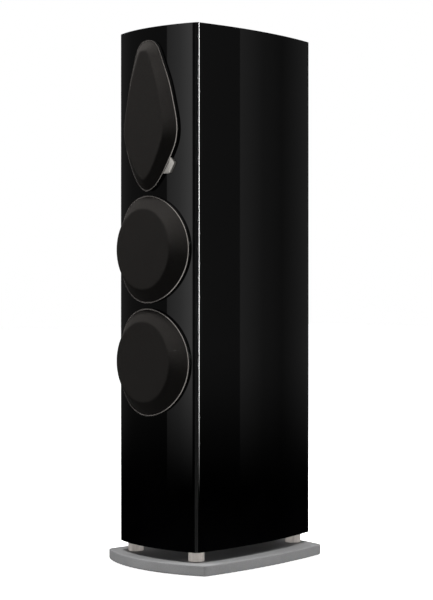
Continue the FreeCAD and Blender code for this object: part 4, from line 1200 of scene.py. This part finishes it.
def make_world():
    """White to the camera, soft grey light on the surfaces, and soft boxes in reflections."""
    world = bpy.data.worlds.new("studio")
    scene.world = world
    world.use_nodes = True
    tree = world.node_tree
    tree.nodes.clear()

    direction = direction_parts(tree, "Generated")
    ahead = math_node(tree, "MULTIPLY", direction["Y"], -1.0)
    azimuth = math_node(tree, "ARCTAN2", direction["X"], ahead)
    glow = None
    for first, last, first_level, last_level in STUDIO_GLOW:
        start, end = math.radians(first), math.radians(last)
        level = between(tree, azimuth, first_level, last_level, start, end)
        inside = math_node(tree, "GREATER_THAN", azimuth, start)
        inside = math_node(tree, "MULTIPLY", inside, math_node(tree, "LESS_THAN", azimuth, end))
        part = math_node(tree, "MULTIPLY", level, inside)
        glow = part if glow is None else math_node(tree, "ADD", glow, part)

    def layer(start, end, level):
        result = between(tree, direction["Z"], 0.0, level, start, end)
        result.node.interpolation_type = "SMOOTHSTEP"
        return result

    boxes = math_node(tree, "MULTIPLY", layer(*BOXES_LOWER_EDGE), layer(*BOXES_UPPER_EDGE))
    outer = math_node(tree, "ADD", layer(*BOUNCE), layer(*CEILING))
    wave = math_node(tree, "COSINE", math_node(tree, "MULTIPLY", azimuth, OUTER_BOXES))
    uneven = math_node(tree, "MULTIPLY", outer, between(tree, wave, OUTER_SHADE, 1.0, -0.2, 1.0))
    glow = math_node(tree, "ADD", math_node(tree, "MULTIPLY", glow, boxes), uneven)

    def backdrop(level):
        inputs = {"Color": WHITE, "Strength": level}
        return add_node(tree, "ShaderNodeBackground", inputs).outputs["Background"]

    path = tree.nodes.new("ShaderNodeLightPath")

    def choose(test, when_no, when_yes):
        inputs = {0: path.outputs[test], 1: when_no, 2: when_yes}
        return add_node(tree, "ShaderNodeMixShader", inputs).outputs["Shader"]

    lit = choose("Is Glossy Ray", backdrop(DIFFUSE_LEVEL), backdrop(glow))
    seen = choose("Is Camera Ray", lit, backdrop(1.0))
    add_node(tree, "ShaderNodeOutputWorld", {"Surface": seen})


def make_floor():
    """Pale floor that glows evenly, so that it runs into the white background."""
    material, tree, shader = start_material("studio_floor")
    tint = colours(tree, noise(tree, object_coordinates(tree), 3.0), (0.86,) * 3, (0.9,) * 3)
    inputs = {
        "Base Color": tint,
        "Roughness": 0.9,
        "Emission Color": WHITE,
        "Emission Strength": FLOOR_GLOW,
    }
    fill(tree, shader, inputs)
    mesh = bpy.data.meshes.new("studio_floor")
    corners = [(FLOOR_REACH * x, FLOOR_REACH * y, 0.0) for x, y in ((-1, -1), (1, -1), (1, 1), (-1, 1))]
    mesh.from_pydata(corners, [], [(0, 1, 2, 3)])
    mesh.materials.append(material)
    floor = bpy.data.objects.new("studio_floor", mesh)
    scene.collection.objects.link(floor)
    floor.visible_glossy = False
    floor.visible_diffuse = False


def aim(obj, place, target):
    obj.location = place
    obj.rotation_euler = (Vector(target) - Vector(place)).to_track_quat("-Z", "Y").to_euler()


def soft_lamp(name, place, target, width, height, power, spread=180.0):
    """Rectangular lamp that lights surfaces but isn't mirrored in them."""
    data = bpy.data.lights.new(name, "AREA")
    data.shape = "RECTANGLE"
    data.size = width
    data.size_y = height
    data.energy = power
    data.spread = math.radians(spread)
    lamp = bpy.data.objects.new(name, data)
    aim(lamp, place, target)
    lamp.visible_glossy = False
    lamp.visible_camera = False
    scene.collection.objects.link(lamp)


def low_lamps():
    """Four narrow beams along the floor, which stand for the light that a white floor throws up."""
    for quarter in range(4):
        turn = CAMERA_AZIMUTH + quarter * math.pi / 2.0
        x, y = LOW_LAMP_DISTANCE * math.sin(turn), -LOW_LAMP_DISTANCE * math.cos(turn)
        name, place = f"low_lamp_{quarter}", (x, y, LOW_LAMP_HEIGHT)
        soft_lamp(name, place, LOW_LAMP_TARGET, *LOW_LAMP_SIZE, LOW_LAMP_POWER, LOW_LAMP_SPREAD)


make_camera()
make_world()
make_floor()
for lamp in LAMPS:
    soft_lamp(*lamp)
low_lamps()

scene.view_settings.view_transform = "Standard"
